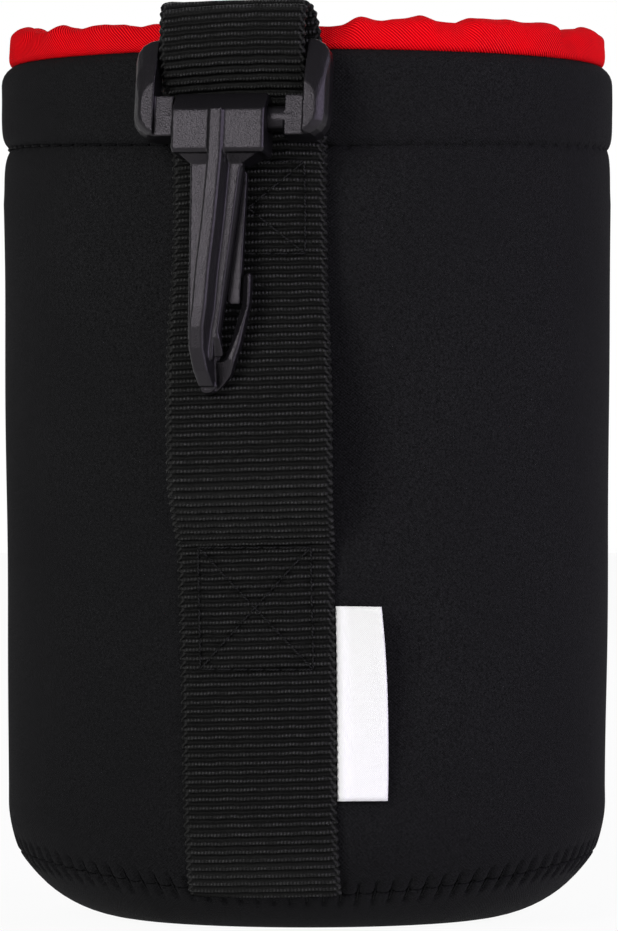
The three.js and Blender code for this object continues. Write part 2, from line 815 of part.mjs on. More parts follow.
/** The snap hook, one moulding. */
function hookBody() {
  const boreRadius = pivotRadius + boreClearance;
  const bore = barAlongX(boreRadius, headWidth + overrun, 0, 0);
  const mouth = boxBetween(
    -headWidth / 2 - overrun, headWidth / 2 + overrun, -snapMouth / 2, snapMouth / 2, -headBack - overrun, 0);
  return geometryOf(joinAndCut([hookHead(), hookNeck(), spinePlate(), hookBend(), hookRib()], [bore, mouth]));
}

const tongueRootDrop = headFoot + neckDrop + touchGap + tongueRootRadius;
const tongueTipDrop = hookLength * tongueTipDropShare;
const tongueTipRight = noseKneeX - noseThickness - touchGap;
const tongueBack = touchGap - hookBack;
const tongueFront = plateFront - plateThickness - touchGap;

/** The springy tongue that closes the hook's throat, drawn about the middle of its root. */
function gateTongue() {
  const shape = new THREE.Shape();
  const tipRight = tongueTipRight - tongueRootX;
  const tipDrop = tongueTipDrop - tongueRootDrop;
  shape.moveTo(tongueRootRadius, 0);
  shape.absarc(0, 0, tongueRootRadius, 0, Math.PI, false);
  shape.lineTo(tipRight - tongueTipWidth, tongueTipBevel - tipDrop);
  shape.lineTo(tipRight - tongueTipWidth + tongueTipBevel, -tipDrop);
  shape.lineTo(tipRight, -tipDrop);
  shape.closePath();
  return plate(shape, tongueBack, tongueFront, 0);
}

// Assembly

const neoprene = surface(0x18181b, 0.95);
const nylon = surface(0xdc0812, 0.45);
const webbing = surface(0x161614, 0.8);
const tape = surface(0xf2f2f0, 0.7);
const acetal = surface(0x2a282b, 0.45);

const pouch = new THREE.Group();
pouch.add(piece('body_wall', bodyWall(), neoprene));
pouch.add(piece('base_panel', basePanel(), neoprene.clone()));
pouch.add(piece('collar_fold', collarFold(), nylon));
pouch.add(piece('collar_sleeve', collarSleeve(), nylon.clone()));
pouch.add(piece('collar_hem', collarHem(), nylon.clone()));
pouch.add(piece('belt_strap', beltStrap(), webbing));
pouch.add(piece('blank_label', blankLabel(), tape));

// The strap's own axes at the loop: X across the strap, Y up and Z away from the body.
const loopPlace = outlinePlace(strapHeadX);
const strapAxes = new THREE.Group();
const upward = new THREE.Vector3(0, 0, 1);
const strapTurn = new THREE.Matrix4().makeBasis(loopPlace.side, upward, loopPlace.out);
strapAxes.quaternion.setFromRotationMatrix(strapTurn);
strapAxes.position.copy(loopPlace.foot);
pouch.add(strapAxes);

const frameAxes = new THREE.Group();
frameAxes.position.set(0, topBarHeight, topBarLift);
frameAxes.rotation.x = -radians(frameLean);
frameAxes.add(piece('loop_frame', loopFrame(), acetal));
strapAxes.add(frameAxes);

const hookAxes = new THREE.Group();
hookAxes.position.set(headSlide, -pivotDrop, pivotForward);
hookAxes.rotation.x = radians(frameLean - hookLean);
hookAxes.add(piece('hook_body', hookBody(), acetal.clone()));
frameAxes.add(hookAxes);

const tongue = piece('gate_tongue', gateTongue(), acetal.clone());
tongue.position.set(tongueRootX, -tongueRootDrop, 0);
hookAxes.add(tongue);

export default pouch;
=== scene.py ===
"""Looks of a neoprene lens pouch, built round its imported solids.

Lengths are in millimetres until a mesh is made, and the mesh is in metres.
The origin is the middle of the base, +Z is up and the strap side faces -Y.
"""

import logging
import math
from collections.abc import Callable, Iterable, Mapping, Sequence
from dataclasses import dataclass
from enum import Enum
from functools import cached_property

import bpy
import numpy as np
from mathutils import Matrix, Vector


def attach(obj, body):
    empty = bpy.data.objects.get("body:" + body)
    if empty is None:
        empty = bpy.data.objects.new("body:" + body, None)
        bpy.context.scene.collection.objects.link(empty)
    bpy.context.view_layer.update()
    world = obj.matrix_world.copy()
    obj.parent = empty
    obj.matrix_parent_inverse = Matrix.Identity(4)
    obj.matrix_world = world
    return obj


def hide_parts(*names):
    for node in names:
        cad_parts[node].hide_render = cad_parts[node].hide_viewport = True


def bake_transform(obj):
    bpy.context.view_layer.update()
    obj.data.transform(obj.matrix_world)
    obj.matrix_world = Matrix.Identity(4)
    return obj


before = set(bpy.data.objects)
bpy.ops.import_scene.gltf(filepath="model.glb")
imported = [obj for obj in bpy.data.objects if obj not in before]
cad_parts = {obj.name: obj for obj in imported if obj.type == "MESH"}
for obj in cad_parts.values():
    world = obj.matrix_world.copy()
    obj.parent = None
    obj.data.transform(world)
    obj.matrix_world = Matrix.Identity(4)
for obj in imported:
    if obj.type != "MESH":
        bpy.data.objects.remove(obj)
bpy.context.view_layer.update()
LOG = logging.getLogger("pouch")

MM = 0.001
TURN = 2 * math.pi
POLYMER_IOR = 1.5
RIB_PITCH = 1.3  # of the webbing, in its mesh and in its finish
INNER_FACE = 104.0  # how far across its map the webbing's inner face lies

Socket = bpy.types.NodeSocket
Triple = tuple[float, float, float]


class Body(Enum):
    """The bodies that pieces made here ride on."""

    POUCH = "pouch"
    COLLAR_END = "collar_end"


class Slot(Enum):
    """The record's material slots."""

    NEOPRENE = "neoprene"
    NYLON = "nylon"
    WEBBING = "webbing"
    TAPE = "tape"
    ACETAL = "acetal"


# Nodes and colours


def linear(colour: str) -> tuple[float, float, float, float]:
    """Turns an sRGB hex colour, six digits with a leading #, to linear red, green, blue and an alpha of one."""
    parts = [int(colour[i : i + 2], 16) / 255 for i in (1, 3, 5)]
    light = [c / 12.92 if c <= 0.04045 else ((c + 0.055) / 1.055) ** 2.4 for c in parts]
    return (light[0], light[1], light[2], 1.0)


def feed(tree: bpy.types.NodeTree, node: bpy.types.Node, feeds: Mapping[str | int, object]) -> None:
    """Feeds a node's inputs.

    Args:
        tree: The tree that the node is in.
        node: The node.
        feeds: Another node's socket or a plain value for each input, by its name or number.
    """
    for key, value in feeds.items():
        if isinstance(value, Socket):
            tree.links.new(value, node.inputs[key])
        else:
            node.inputs[key].default_value = value


def add_node(
    tree: bpy.types.NodeTree, kind: str, feeds: Mapping[str | int, object] | None = None, **settings: object
) -> bpy.types.Node:
    """Adds a node with its settings and links.

    Args:
        tree: The tree that the node goes into.
        kind: The node's type name.
        feeds: What goes into its inputs, as feed takes it.
        **settings: Its properties.

    Returns:
        The new node.
    """
    node = tree.nodes.new(kind)
    for key, value in settings.items():
        setattr(node, key, value)
    feed(tree, node, feeds or {})
    return node


class Shading:
    """A material while it is built: a Principled shader and the kinds of node that its pattern is made of."""

    def __init__(self, name: str) -> None:
        """Starts a material of a name with a bare shader."""
        self.material = bpy.data.materials.new(name)
        self.material.use_nodes = True
        self.tree = self.material.node_tree
        self.shader = self.tree.nodes["Principled BSDF"]

    @cached_property
    def coords(self) -> bpy.types.Node:
        """The node that tells places on the object and on its cloth."""
        return add_node(self.tree, "ShaderNodeTexCoord")

    @cached_property
    def cloth(self) -> tuple[Socket, Socket]:
        """Millimetres across and along the cloth."""
        split = add_node(self.tree, "ShaderNodeSeparateXYZ", {0: self.coords.outputs["UV"]})
        return split.outputs[0], split.outputs[1]

    def calc(self, operation: str, *terms: Socket | float) -> Socket:
        """One step of reckoning with sockets and numbers."""
        return add_node(self.tree, "ShaderNodeMath", dict(enumerate(terms)), operation=operation).outputs[0]

    def ripple(self, along: Socket, period: float, phase: float = 0.0) -> Socket:
        """A sine wave from minus one to one, its length in millimetres."""
        return self.calc("SINE", self.calc("MULTIPLY_ADD", along, TURN / period, phase))

    def noise(self, size: float, detail: float = 2.0, roughness: float = 0.5) -> Socket:
        """Noise in the object's space, its size in millimetres."""
        feeds = {"Scale": 1 / (size * MM), "Detail": detail, "Roughness": roughness}
        feeds["Vector"] = self.coords.outputs["Object"]
        return add_node(self.tree, "ShaderNodeTexNoise", feeds).outputs["Fac"]

    def spread(
        self, value: Socket, low: float, high: float, to_low: float = 0.0, to_high: float = 1.0, smooth: bool = False
    ) -> Socket:
        """Takes a value from one range to another and holds it there.

        Args:
            value: The value.
            low: What becomes to_low.
            high: What becomes to_high.
            to_low: One end of the new range.
            to_high: Its other end.
            smooth: Whether the way between is eased.

        Returns:
            The new value.
        """
        feeds = {"Value": value, "From Min": low, "From Max": high, "To Min": to_low, "To Max": to_high}
        easing = "SMOOTHSTEP" if smooth else "LINEAR"
        return add_node(self.tree, "ShaderNodeMapRange", feeds, interpolation_type=easing).outputs[0]

    def mix(self, share: Socket, one: Socket | str, other: Socket | str) -> Socket:
        """A blend of two colours, each a socket or a hex colour, with the share of the second."""
        ends = [linear(end) if isinstance(end, str) else end for end in (one, other)]
        return add_node(self.tree, "ShaderNodeMix", {0: share, 6: ends[0], 7: ends[1]}, data_type="RGBA").outputs[2]

    def bump(self, height: Socket, strength: float, depth: float) -> Socket:
        """Bumps, their depth in millimetres."""
        feeds = {"Height": height, "Strength": strength, "Distance": depth * MM}
        return add_node(self.tree, "ShaderNodeBump", feeds).outputs[0]

    def shade(
        self, colour: Socket | str, roughness: Socket | float, specular: Socket | float, **more: Socket | float | str
    ) -> bpy.types.Material:
        """Feeds the shader; a hex colour is made linear.

        Args:
            colour: Its colour.
            roughness: Its roughness.
            specular: Its specular level.
            **more: What goes into its other inputs.

        Returns:
            The material.
        """
        feeds = {"Base Color": colour, "Roughness": roughness, "Specular IOR Level": specular, "IOR": POLYMER_IOR}
        for key, value in (feeds | more).items():
            feed(self.tree, self.shader, {key: linear(value) if isinstance(value, str) else value})
        return self.material


# Finishes


@dataclass(frozen=True)
class NeopreneFinish:
    """Foam rubber faced with knitted nylon jersey.

    Dyed right through, so it swallows light: near black, matt, with the knit's grain just showing.
    """

    name: str = "neoprene_faced_with_knitted_nylon"
    dark: str = "#020202"
    light: str = "#252526"
    violet: str = "#151516"
    sheen: str = "#6a6874"
    roughness: float = 0.9
    specular: float = 0.06
    wale: float = 0.62
    course: float = 0.5
    fuzz: float = 0.34
    blotch: float = 22.0
    sheen_weight: float = 0.02

    def make(self) -> bpy.types.Material:
        """Builds the material; the knit is drawn twice as coarse as the real 0.3 mm loops."""
        look = Shading(self.name)
        across, along = look.cloth
        knit = look.calc("MULTIPLY", look.ripple(across, self.wale), look.ripple(along, self.course))
        grain = look.noise(self.fuzz, detail=3.0, roughness=0.65)
        jersey = look.mix(look.spread(grain, 0.3, 0.7), self.dark, self.light)
        colour = look.mix(look.noise(self.blotch), jersey, self.violet)
        normal = look.bump(look.calc("MULTIPLY_ADD", knit, 0.22, grain), strength=1.0, depth=0.2)
        sheen = {"Sheen Weight": self.sheen_weight, "Sheen Roughness": 0.5, "Sheen Tint": self.sheen}
        return look.shade(colour, self.roughness, self.specular, Normal=normal, **sheen)


@dataclass(frozen=True)
class NylonTwillFinish:
    """Thin lining nylon, woven in a twill and calendered: fine diagonal lines, with a painted satin gleam and painted
    shade.
    """

    name: str = "lining_nylon_woven_in_twill"
    bright: str = "#f2000e"
    twill_shade: str = "#7c0007"
    twill_highlight: str = "#ff3a40"
    roughness: float = 0.75
    specular: float = 0.015
    twill: float = 0.38
    light_patch: float = 7.0

    def make(self) -> bpy.types.Material:
        """Builds the material; the twill lines are drawn 0.38 mm apart, a little coarser than real."""
        look = Shading(self.name)
        across, along = look.cloth
        lines = look.ripple(look.calc("SUBTRACT", across, along), self.twill * math.sqrt(2))
        yarn = look.ripple(across, self.twill)
        # Painted light: along each twill line a darker colour is painted shade and between them a lighter one is
        # painted highlight; noise patches make both stronger or weaker.
        patchy = look.spread(look.noise(self.light_patch, detail=3.0), 0.3, 0.7, 0.4, 0.85)
        hollow_shade = look.calc("MULTIPLY", look.spread(lines, -0.6, 1.0), patchy)
        shine = look.calc("MULTIPLY", look.spread(lines, -1.0, -0.5, 0.7, 0.0), patchy)
        colour = look.mix(shine, look.mix(hollow_shade, self.bright, self.twill_shade), self.twill_highlight)
        normal = look.bump(look.calc("MULTIPLY_ADD", yarn, 0.35, lines), strength=0.7, depth=0.09)
        return look.shade(colour, self.roughness, self.specular, Normal=normal)


@dataclass(frozen=True)
class WebbingFinish:
    """Polypropylene webbing: a thick hidden weft makes the ribs, and warp yarns cross each crest in floats that carry
    a painted highlight.
    """

    name: str = "polypropylene_webbing_ribbed_weave"
    valley_shade: str = "#080808"
    ground: str = "#121211"
    crest: str = "#2d2d2c"
    loop_highlight: str = "#262625"
    roughness: float = 0.45
    specular: float = 0.06
    gleam: float = 0.26
    warp: float = 0.56
    fibre: float = 0.4
    short_streak: float = 1.1
    long_streak: float = 2.6
    slant: float = 1.3
    half: float = 11.35
    blend: float = 0.15

    def make(self) -> bpy.types.Material:
        """Builds the material; its ribs follow the webbing's ridges and its edges are drawn as slanting loops, with a
        painted highlight on each loop.
        """
        look = Shading(self.name)
        run, along = look.cloth
        across = look.calc("WRAP", run, INNER_FACE / 2, -INNER_FACE / 2)
        side = look.calc("ABSOLUTE", across)
        loop = look.ripple(look.calc("MULTIPLY_ADD", side, self.slant, along), RIB_PITCH)
        fibre = look.noise(self.fibre, detail=3.0, roughness=0.7)
        float_share = look.spread(look.ripple(along, RIB_PITCH, math.pi / 2), -0.55, 1.0, smooth=True)
        for part in (
            look.spread(look.ripple(across, self.warp), -0.9, 0.6, 0.16),
            look.spread(look.noise(self.short_streak, roughness=0.6), 0.34, 0.66, 0.3, 1.25),
            look.spread(look.noise(self.long_streak, roughness=0.6), 0.3, 0.66, 0.35, 1.15),
        ):
            float_share = look.calc("MULTIPLY", float_share, part)
        # Painted light: the crest colour is a painted highlight on the warp floats, patchy with the streak noise; the
        # darker valley colour is painted shade.
        woven = look.mix(float_share, look.mix(fibre, self.valley_shade, self.ground), self.crest)
        edge = look.spread(side, self.half - self.blend, self.half + self.blend, smooth=True)
        # Painted light: at the edges the loops get a painted highlight and the gaps between them painted shade.
        turned = look.mix(look.spread(loop, -0.2, 0.9, smooth=True), self.valley_shade, self.loop_highlight)
        normal = look.bump(look.calc("MULTIPLY_ADD", float_share, 1.6, fibre), strength=0.9, depth=0.16)
        gleam = look.spread(float_share, 0.0, 1.0, self.specular, self.gleam)
        return look.shade(look.mix(edge, woven, turned), self.roughness, gleam, Normal=normal)


@dataclass(frozen=True)
class ThreadFinish:
    """Twisted polyester sewing thread: a slight gleam broken up by the twist."""

    name: str = "polyester_thread_twisted"
    colour: str = "#08080a"
    hollow_shade: str = "#030304"
    roughness: float = 0.7
    specular: float = 0.08
    twist: float = 0.5

    def make(self) -> bpy.types.Material:
        """Builds the material; the twist runs at a slant round each stitch."""
        look = Shading(self.name)
        ply = look.ripple(look.calc("ADD", *look.cloth), self.twist)
        # Painted shade: the twist's grooves are coloured darker.
        colour = look.mix(look.spread(ply, -1.0, 1.0), self.hollow_shade, self.colour)
        return look.shade(colour, self.roughness, self.specular, Normal=look.bump(ply, strength=0.5, depth=0.06))


@dataclass(frozen=True)
class TapeFinish:
    """White polyester satin tape, woven, heat cut: bright and smooth, with the weave only just there."""

    name: str = "white_polyester_tape_woven"
    colour: str = "#f9f9f7"
    hollow_shade: str = "#efefed"
    roughness: float = 0.6
    specular: float = 0.3
    weave: float = 0.34

    def make(self) -> bpy.types.Material:
        """Builds the material."""
        look = Shading(self.name)
        weave = look.calc("MULTIPLY", *(look.ripple(way, self.weave) for way in look.cloth))
        # Painted shade: the weave's hollows are coloured a touch darker.
        colour = look.mix(look.spread(weave, -1.0, 1.0), self.colour, self.hollow_shade)
        return look.shade(colour, self.roughness, self.specular, Normal=look.bump(weave, strength=0.3, depth=0.04))


@dataclass(frozen=True)
class AcetalFinish:
    """Acetal, injection moulded in a spark-eroded tool: satin black, greyish where it faces a light."""

    name: str = "acetal_injection_moulded_satin"
    colour: str = "#0c0b0d"
    grit_tone: str = "#131214"
    tint: str = "#fdf4ff"
    roughness: float = 0.3
    specular: float = 0.31
    grit: float = 0.22
    flow: float = 6.0
    ior: float = 1.48

    def make(self) -> bpy.types.Material:
        """Builds the material; the tool's grain is drawn at 0.22 mm, a little coarser than real."""
        look = Shading(self.name)
        grit = look.noise(self.grit, roughness=0.6)
        rough = look.spread(look.noise(self.flow), 0.0, 1.0, self.roughness - 0.04, self.roughness + 0.06)
        more = {"Normal": look.bump(grit, strength=0.8, depth=0.075), "Specular Tint": self.tint, "IOR": self.ior}
        # The grit noise lays a slightly lighter tone over the black at random.
        return look.shade(look.mix(grit, self.colour, self.grit_tone), rough, self.specular, **more)


# Meshes


def link(name: str, data: bpy.types.ID) -> bpy.types.Object:
    """Makes an object of some data and links it to the scene."""
    thing = bpy.data.objects.new(name, data)
    bpy.context.scene.collection.objects.link(thing)
    return thing


def grid_faces(
    rows: int, columns: int, down: np.ndarray, across: np.ndarray, closed: bool
) -> tuple[np.ndarray, np.ndarray]:
    """The faces of a grid whose columns join round.

    Args:
        rows: How many rows it has.
        columns: How many columns it has.
        down: Place of each row on the cloth.
        across: Place of each column on the cloth, one more than the columns.
        closed: Whether the last row joins the first.

    Returns:
        Vertex numbers, n by 4, and a place on the cloth for each corner, n by 4 by 2.
    """
    i = np.arange(rows if closed else rows - 1)[:, None]
    j = np.arange(columns)[None, :]
    i_next, j_next = (i + 1) % rows, (j + 1) % columns
    quads = np.stack([i * columns + j, i * columns + j_next, i_next * columns + j_next, i_next * columns + j], -1)
    u = np.broadcast_to(np.stack([across[j], across[j + 1], across[j + 1], across[j]], -1), quads.shape)
    v = np.broadcast_to(np.stack([down[i], down[i], down[i + 1], down[i + 1]], -1), quads.shape)
    return quads.reshape(-1, 4), np.stack([u, v], -1).reshape(-1, 4, 2)


@dataclass
class Surface:
    """A closed surface.

    Attributes:
        points: Vertices in millimetres, n by 3.
        quads: Vertex numbers, n by 4.
        places: A place on the cloth for each corner, n by 4 by 2, in millimetres.
        triangles: Vertex numbers, n by 3.
        triangle_places: The same for the triangles, n by 3 by 2.
    """

    points: np.ndarray
    quads: np.ndarray
    places: np.ndarray
    triangles: np.ndarray
    triangle_places: np.ndarray

    def volume(self) -> float:
        """Six times the volume inside, less than zero where the faces look inwards."""
        faces = np.concatenate([self.quads[:, [0, 1, 2]], self.quads[:, [0, 2, 3]], self.triangles])
        a, b, c = (self.points[faces[:, i]] for i in range(3))
        return float(np.einsum("ij,ij->i", a, np.cross(b, c)).sum())

    def make(self, name: str) -> bpy.types.Object:
        """Makes a smooth mesh object of a name, its faces turned outwards."""
        faces, places = (self.quads, self.triangles), (self.places, self.triangle_places)
        if self.volume() <= 0:
            faces, places = ([values[:, ::-1] for values in both] for both in (faces, places))
        mesh = bpy.data.meshes.new(name)
        corners = np.concatenate([numbers.ravel() for numbers in faces]).astype(np.int32)
        sizes = np.concatenate([np.full(len(numbers), numbers.shape[1]) for numbers in faces]).astype(np.int32)
        starts = np.concatenate([[0], np.cumsum(sizes)[:-1]]).astype(np.int32)
        mesh.vertices.add(len(self.points))
        mesh.loops.add(len(corners))
        mesh.polygons.add(len(sizes))
        mesh.vertices.foreach_set("co", (self.points * MM).astype(np.float32).ravel())
        mesh.loops.foreach_set("vertex_index", corners)
        mesh.polygons.foreach_set("loop_start", starts)
        mesh.polygons.foreach_set("use_smooth", np.ones(len(sizes), bool))
        cloth = np.concatenate([values.reshape(-1, 2) for values in places])
        mesh.uv_layers.new(name="cloth").data.foreach_set("uv", cloth.astype(np.float32).ravel())
        mesh.update(calc_edges=True)
        mesh.validate()
        return link(name, mesh)


@dataclass
class Skin:
    """A grid of points skinned into one closed surface.

    Attributes:
        name: The piece's name.
        points: Rows by columns by 3, in millimetres.
        closed: Whether the last row joins the first.
        caps: How open ends are shut: zip for a flat ribbon's ring, pole for a ring round one point.
        down: Place of each row on the cloth, one more than the rows where they close, or measured where None.
        across: Place of each column on the cloth, one more than the columns, or measured where None.
    """

    name: str
    points: np.ndarray
    closed: bool = True
    caps: str = ""
    down: np.ndarray | None = None
    across: np.ndarray | None = None

    def measured(self, axis: int) -> np.ndarray:
        """Distances along the grid's rows (0) or columns (1), as a mean."""
        steps = np.linalg.norm(np.roll(self.points, -1, axis) - self.points, axis=2).mean(1 - axis)
        return np.concatenate([[0], np.cumsum(steps)])

    def make(self) -> bpy.types.Object:
        """Builds the mesh object."""
        rows, columns = self.points.shape[:2]
        points = self.points.reshape(-1, 3)
        down = self.measured(0) if self.down is None else self.down
        across = self.measured(1) if self.across is None else self.across
        quads, places = grid_faces(rows, columns, down, across, self.closed)
        triangles, triangle_places = np.zeros((0, 3), int), np.zeros((0, 3, 2))
        if self.caps == "zip":
            first = np.array([[k, columns - 1 - k, columns - 2 - k, k + 1] for k in range(columns // 2 - 1)])
            last = (rows - 1) * columns + first[:, ::-1]
            quads = np.concatenate([quads, first, last])
            flat = np.zeros((2 * len(first), 4, 2))
            flat[:, :, 0] = across[np.concatenate([first, last]) % columns]
            places = np.concatenate([places, flat])
        if self.caps == "pole":
            ring = np.arange(columns)
            for row, one, other in ((0, ring, np.roll(ring, -1)), (rows - 1, np.roll(ring, -1), ring)):
                pole = np.full(columns, len(points))
                points = np.concatenate([points, self.points[row].mean(0)[None]])
                fan = np.stack([pole, row * columns + other, row * columns + one], -1)
                triangles = np.concatenate([triangles, fan])
                place = np.zeros((columns, 3, 2))
                place[:, :, 0] = across[ring][:, None]
                place[:, 1:, 1] = down[row]
                triangle_places = np.concatenate([triangle_places, place])
        return Surface(points, quads, places, triangles, triangle_places).make(self.name)


def thread_piece(
    name: str, runs: Iterable[np.ndarray], radius: float, sides: int = 6, narrowed: float = 0.55
) -> bpy.types.Object:
    """Makes stitches: each run is a line of points swept with a round section that narrows at its ends.

    Args:
        name: The piece's name.
        runs: Lines of points, n by 3, in millimetres.
        radius: The thread's radius, in millimetres.
        sides: Sides of the section.
        narrowed: Share of the radius that is left at a run's ends.

    Returns:
        One object with all the stitches.
    """
    points, quads, places, triangles, count = [], [], [], [], 0
    ring = np.arange(sides)
    angles = (ring / sides * TURN)[None, :, None]
    girths = np.arange(sides + 1) * (TURN * radius / sides)
    for run in runs:
        along = np.gradient(run, axis=0)
        along /= np.linalg.norm(along, axis=1, keepdims=True)
        guide = np.where(np.abs(along[:, 2:3]) < 0.8, [[0.0, 0.0, 1.0]], [[1.0, 0.0, 0.0]])
        one = np.cross(along, guide)
        one /= np.linalg.norm(one, axis=1, keepdims=True)
        other = np.cross(along, one)
        size = np.full(len(run), radius)
        size[[0, -1]] *= narrowed
        tube = run[:, None] + size[:, None, None] * (np.cos(angles) * one[:, None] + np.sin(angles) * other[:, None])
        length = np.concatenate([[0], np.cumsum(np.linalg.norm(np.diff(run, axis=0), axis=1))])
        points.append(np.concatenate([tube.reshape(-1, 3), run[[0, -1]]]))
        faces, cloth = grid_faces(len(run), sides, length, girths, closed=False)
        quads.append(count + faces)
        places.append(cloth)
        last = (len(run) - 1) * sides
        for row, pole, turned in ((0, last + sides, 1), (last, last + sides + 1, -1)):
            fan = np.stack([np.full(sides, pole), row + (ring + 1) % sides, row + ring], -1)
            triangles.append(count + fan[:, ::turned])
        count += last + sides + 2
    fans = np.concatenate(triangles)
    surface = Surface(
        np.concatenate(points), np.concatenate(quads), np.concatenate(places), fans, np.zeros((len(fans), 3, 2))
    )
    return surface.make(name)


def dress(
    piece: bpy.types.Object, material: bpy.types.Material, slot: Slot, body: Body | None, *nodes: str
) -> bpy.types.Object:
    """Gives a piece its material, sets it riding and hides the solids that it stands for.

    Args:
        piece: The object.
        material: Its material.
        slot: The record's slot; not used.
        body: The body it rides on, or None.
        *nodes: The solids that it stands for.

    Returns:
        The same object.
    """
    piece.data.materials.clear()
    piece.data.materials.append(material)
    if body is not None:
        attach(piece, body.value)
    if nodes:
        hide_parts(*nodes)
    LOG.info("%s: %d vertices", piece.name, len(piece.data.vertices))
    return piece


def waves(seed: int, count: int, low: int, high: int) -> Callable[[np.ndarray], np.ndarray]:
    """A closed random wave round the pouch.

    Args:
        seed: Seed of the draw.
        count: How many waves are added up.
        low: Fewest waves in a turn.
        high: Most waves in a turn.

    Returns:
        A function of the turn, about from minus one to one.
    """
    draw = np.random.default_rng(seed)
    numbers = draw.integers(low, high + 1, count)
    phases = draw.uniform(0, TURN, count)
    sizes = draw.uniform(0.5, 1.0, count)

    def wave(turn: np.ndarray) -> np.ndarray:
        """The wave at some turns."""
        total = sum(size * np.sin(number * turn + phase) for number, phase, size in zip(numbers, phases, sizes))
        return total / math.sqrt(count) / 0.6

    return wave


# The pouch's shape


@dataclass(frozen=True)
class Shape:
    """The pouch's oval and the heights up it.

    A turn is measured from the strap side, an arc round the widest line and an inset inwards from that line.
    """

    half_width: float = 47.0
    half_depth: float = 43.5
    rim_height: float = 131.2
    stitch_height: float = 116.7
    neoprene: float = 3.0
    band_bulge: float = 0.2
    taper: float = 0.9
    corner_run: float = 20.0
    corner_rise: float = 18.0
    seam_front: float = 5.9
    clearance: float = 0.3
    steps: int = 4096

    def point(self, turn: np.ndarray, inset: np.ndarray, height: np.ndarray) -> np.ndarray:
        """Points at a turn, an inset and a height."""
        turn, inset, height = np.broadcast_arrays(turn, inset, height)
        x = (self.half_width - inset) * np.sin(turn)
        y = (inset - self.half_depth) * np.cos(turn)
        return np.stack([x, y, height.astype(float)], -1)

    def arcs(self) -> tuple[np.ndarray, np.ndarray]:
        """Turns, and the arc from the front to each."""
        turns = np.linspace(0, TURN, self.steps + 1)
        lengths = np.linalg.norm(np.diff(self.point(turns, 0.0, 0.0), axis=0), axis=1)
        return turns, np.concatenate([[0], np.cumsum(lengths)])

    def girth(self) -> float:
        """Length of the widest line."""
        return float(self.arcs()[1][-1])

    def turn_at(self, arc: np.ndarray) -> np.ndarray:
        """Turns at some arcs."""
        turns, arcs = self.arcs()
        return np.interp(arc, arcs, turns)

    def arc_at(self, turn: np.ndarray) -> np.ndarray:
        """Arcs at some turns."""
        turns, arcs = self.arcs()
        return np.interp(turn, turns, arcs)

    def turns(self, count: int) -> np.ndarray:
        """Turns of a number of columns, evenly spaced round the widest line."""
        return self.turn_at(np.arange(count) / count * self.girth())

    def marks(self, count: int) -> np.ndarray:
        """Places on the cloth of those columns, and of the first once more."""
        return np.linspace(0, self.girth(), count + 1)

    def pitch(self, stitch: float) -> float:
        """A stitch length that goes evenly round, close to one that is wanted."""
        return self.girth() / round(self.girth() / stitch)

    def corner(self, rise: np.ndarray, depth: float = 0.0) -> tuple[np.ndarray, np.ndarray]:
        """Inset and height on the rounded bottom corner, at an angle up it and a depth under its face."""
        inset = self.taper + self.corner_run - (self.corner_run - depth) * np.sin(rise)
        return inset, self.corner_rise - (self.corner_rise - depth) * np.cos(rise)

    def corner_angle(self, length: float) -> float:
        """The angle up the corner that a length on it takes up."""
        return length * 2 / (self.corner_run + self.corner_rise)

    def side_inset(self, height: np.ndarray, foot: np.ndarray) -> np.ndarray:
        """Inset of the straight side below the band's foot."""
        return self.taper * (1 - (height - self.corner_rise) / (foot - self.corner_rise))


class Section:
    """A section that is built row by row, each row an inset and a height for every column."""

    def __init__(self, turn: np.ndarray) -> None:
        """Starts an empty section for the turns of its columns."""
        self.turn = turn
        self.rows: list[tuple[np.ndarray, np.ndarray]] = []

    def add(self, inset: np.ndarray | float, height: np.ndarray | float) -> None:
        """Adds a row; each value is a number or has one for each column."""
        self.rows.append((inset + 0 * self.turn, height + 0 * self.turn))

    def points(self, shape: Shape) -> np.ndarray:
        """The section's points, rows by columns by 3."""
        insets, heights = (np.array(values) for values in zip(*self.rows))
        return shape.point(self.turn[None], insets, heights)


# The neoprene


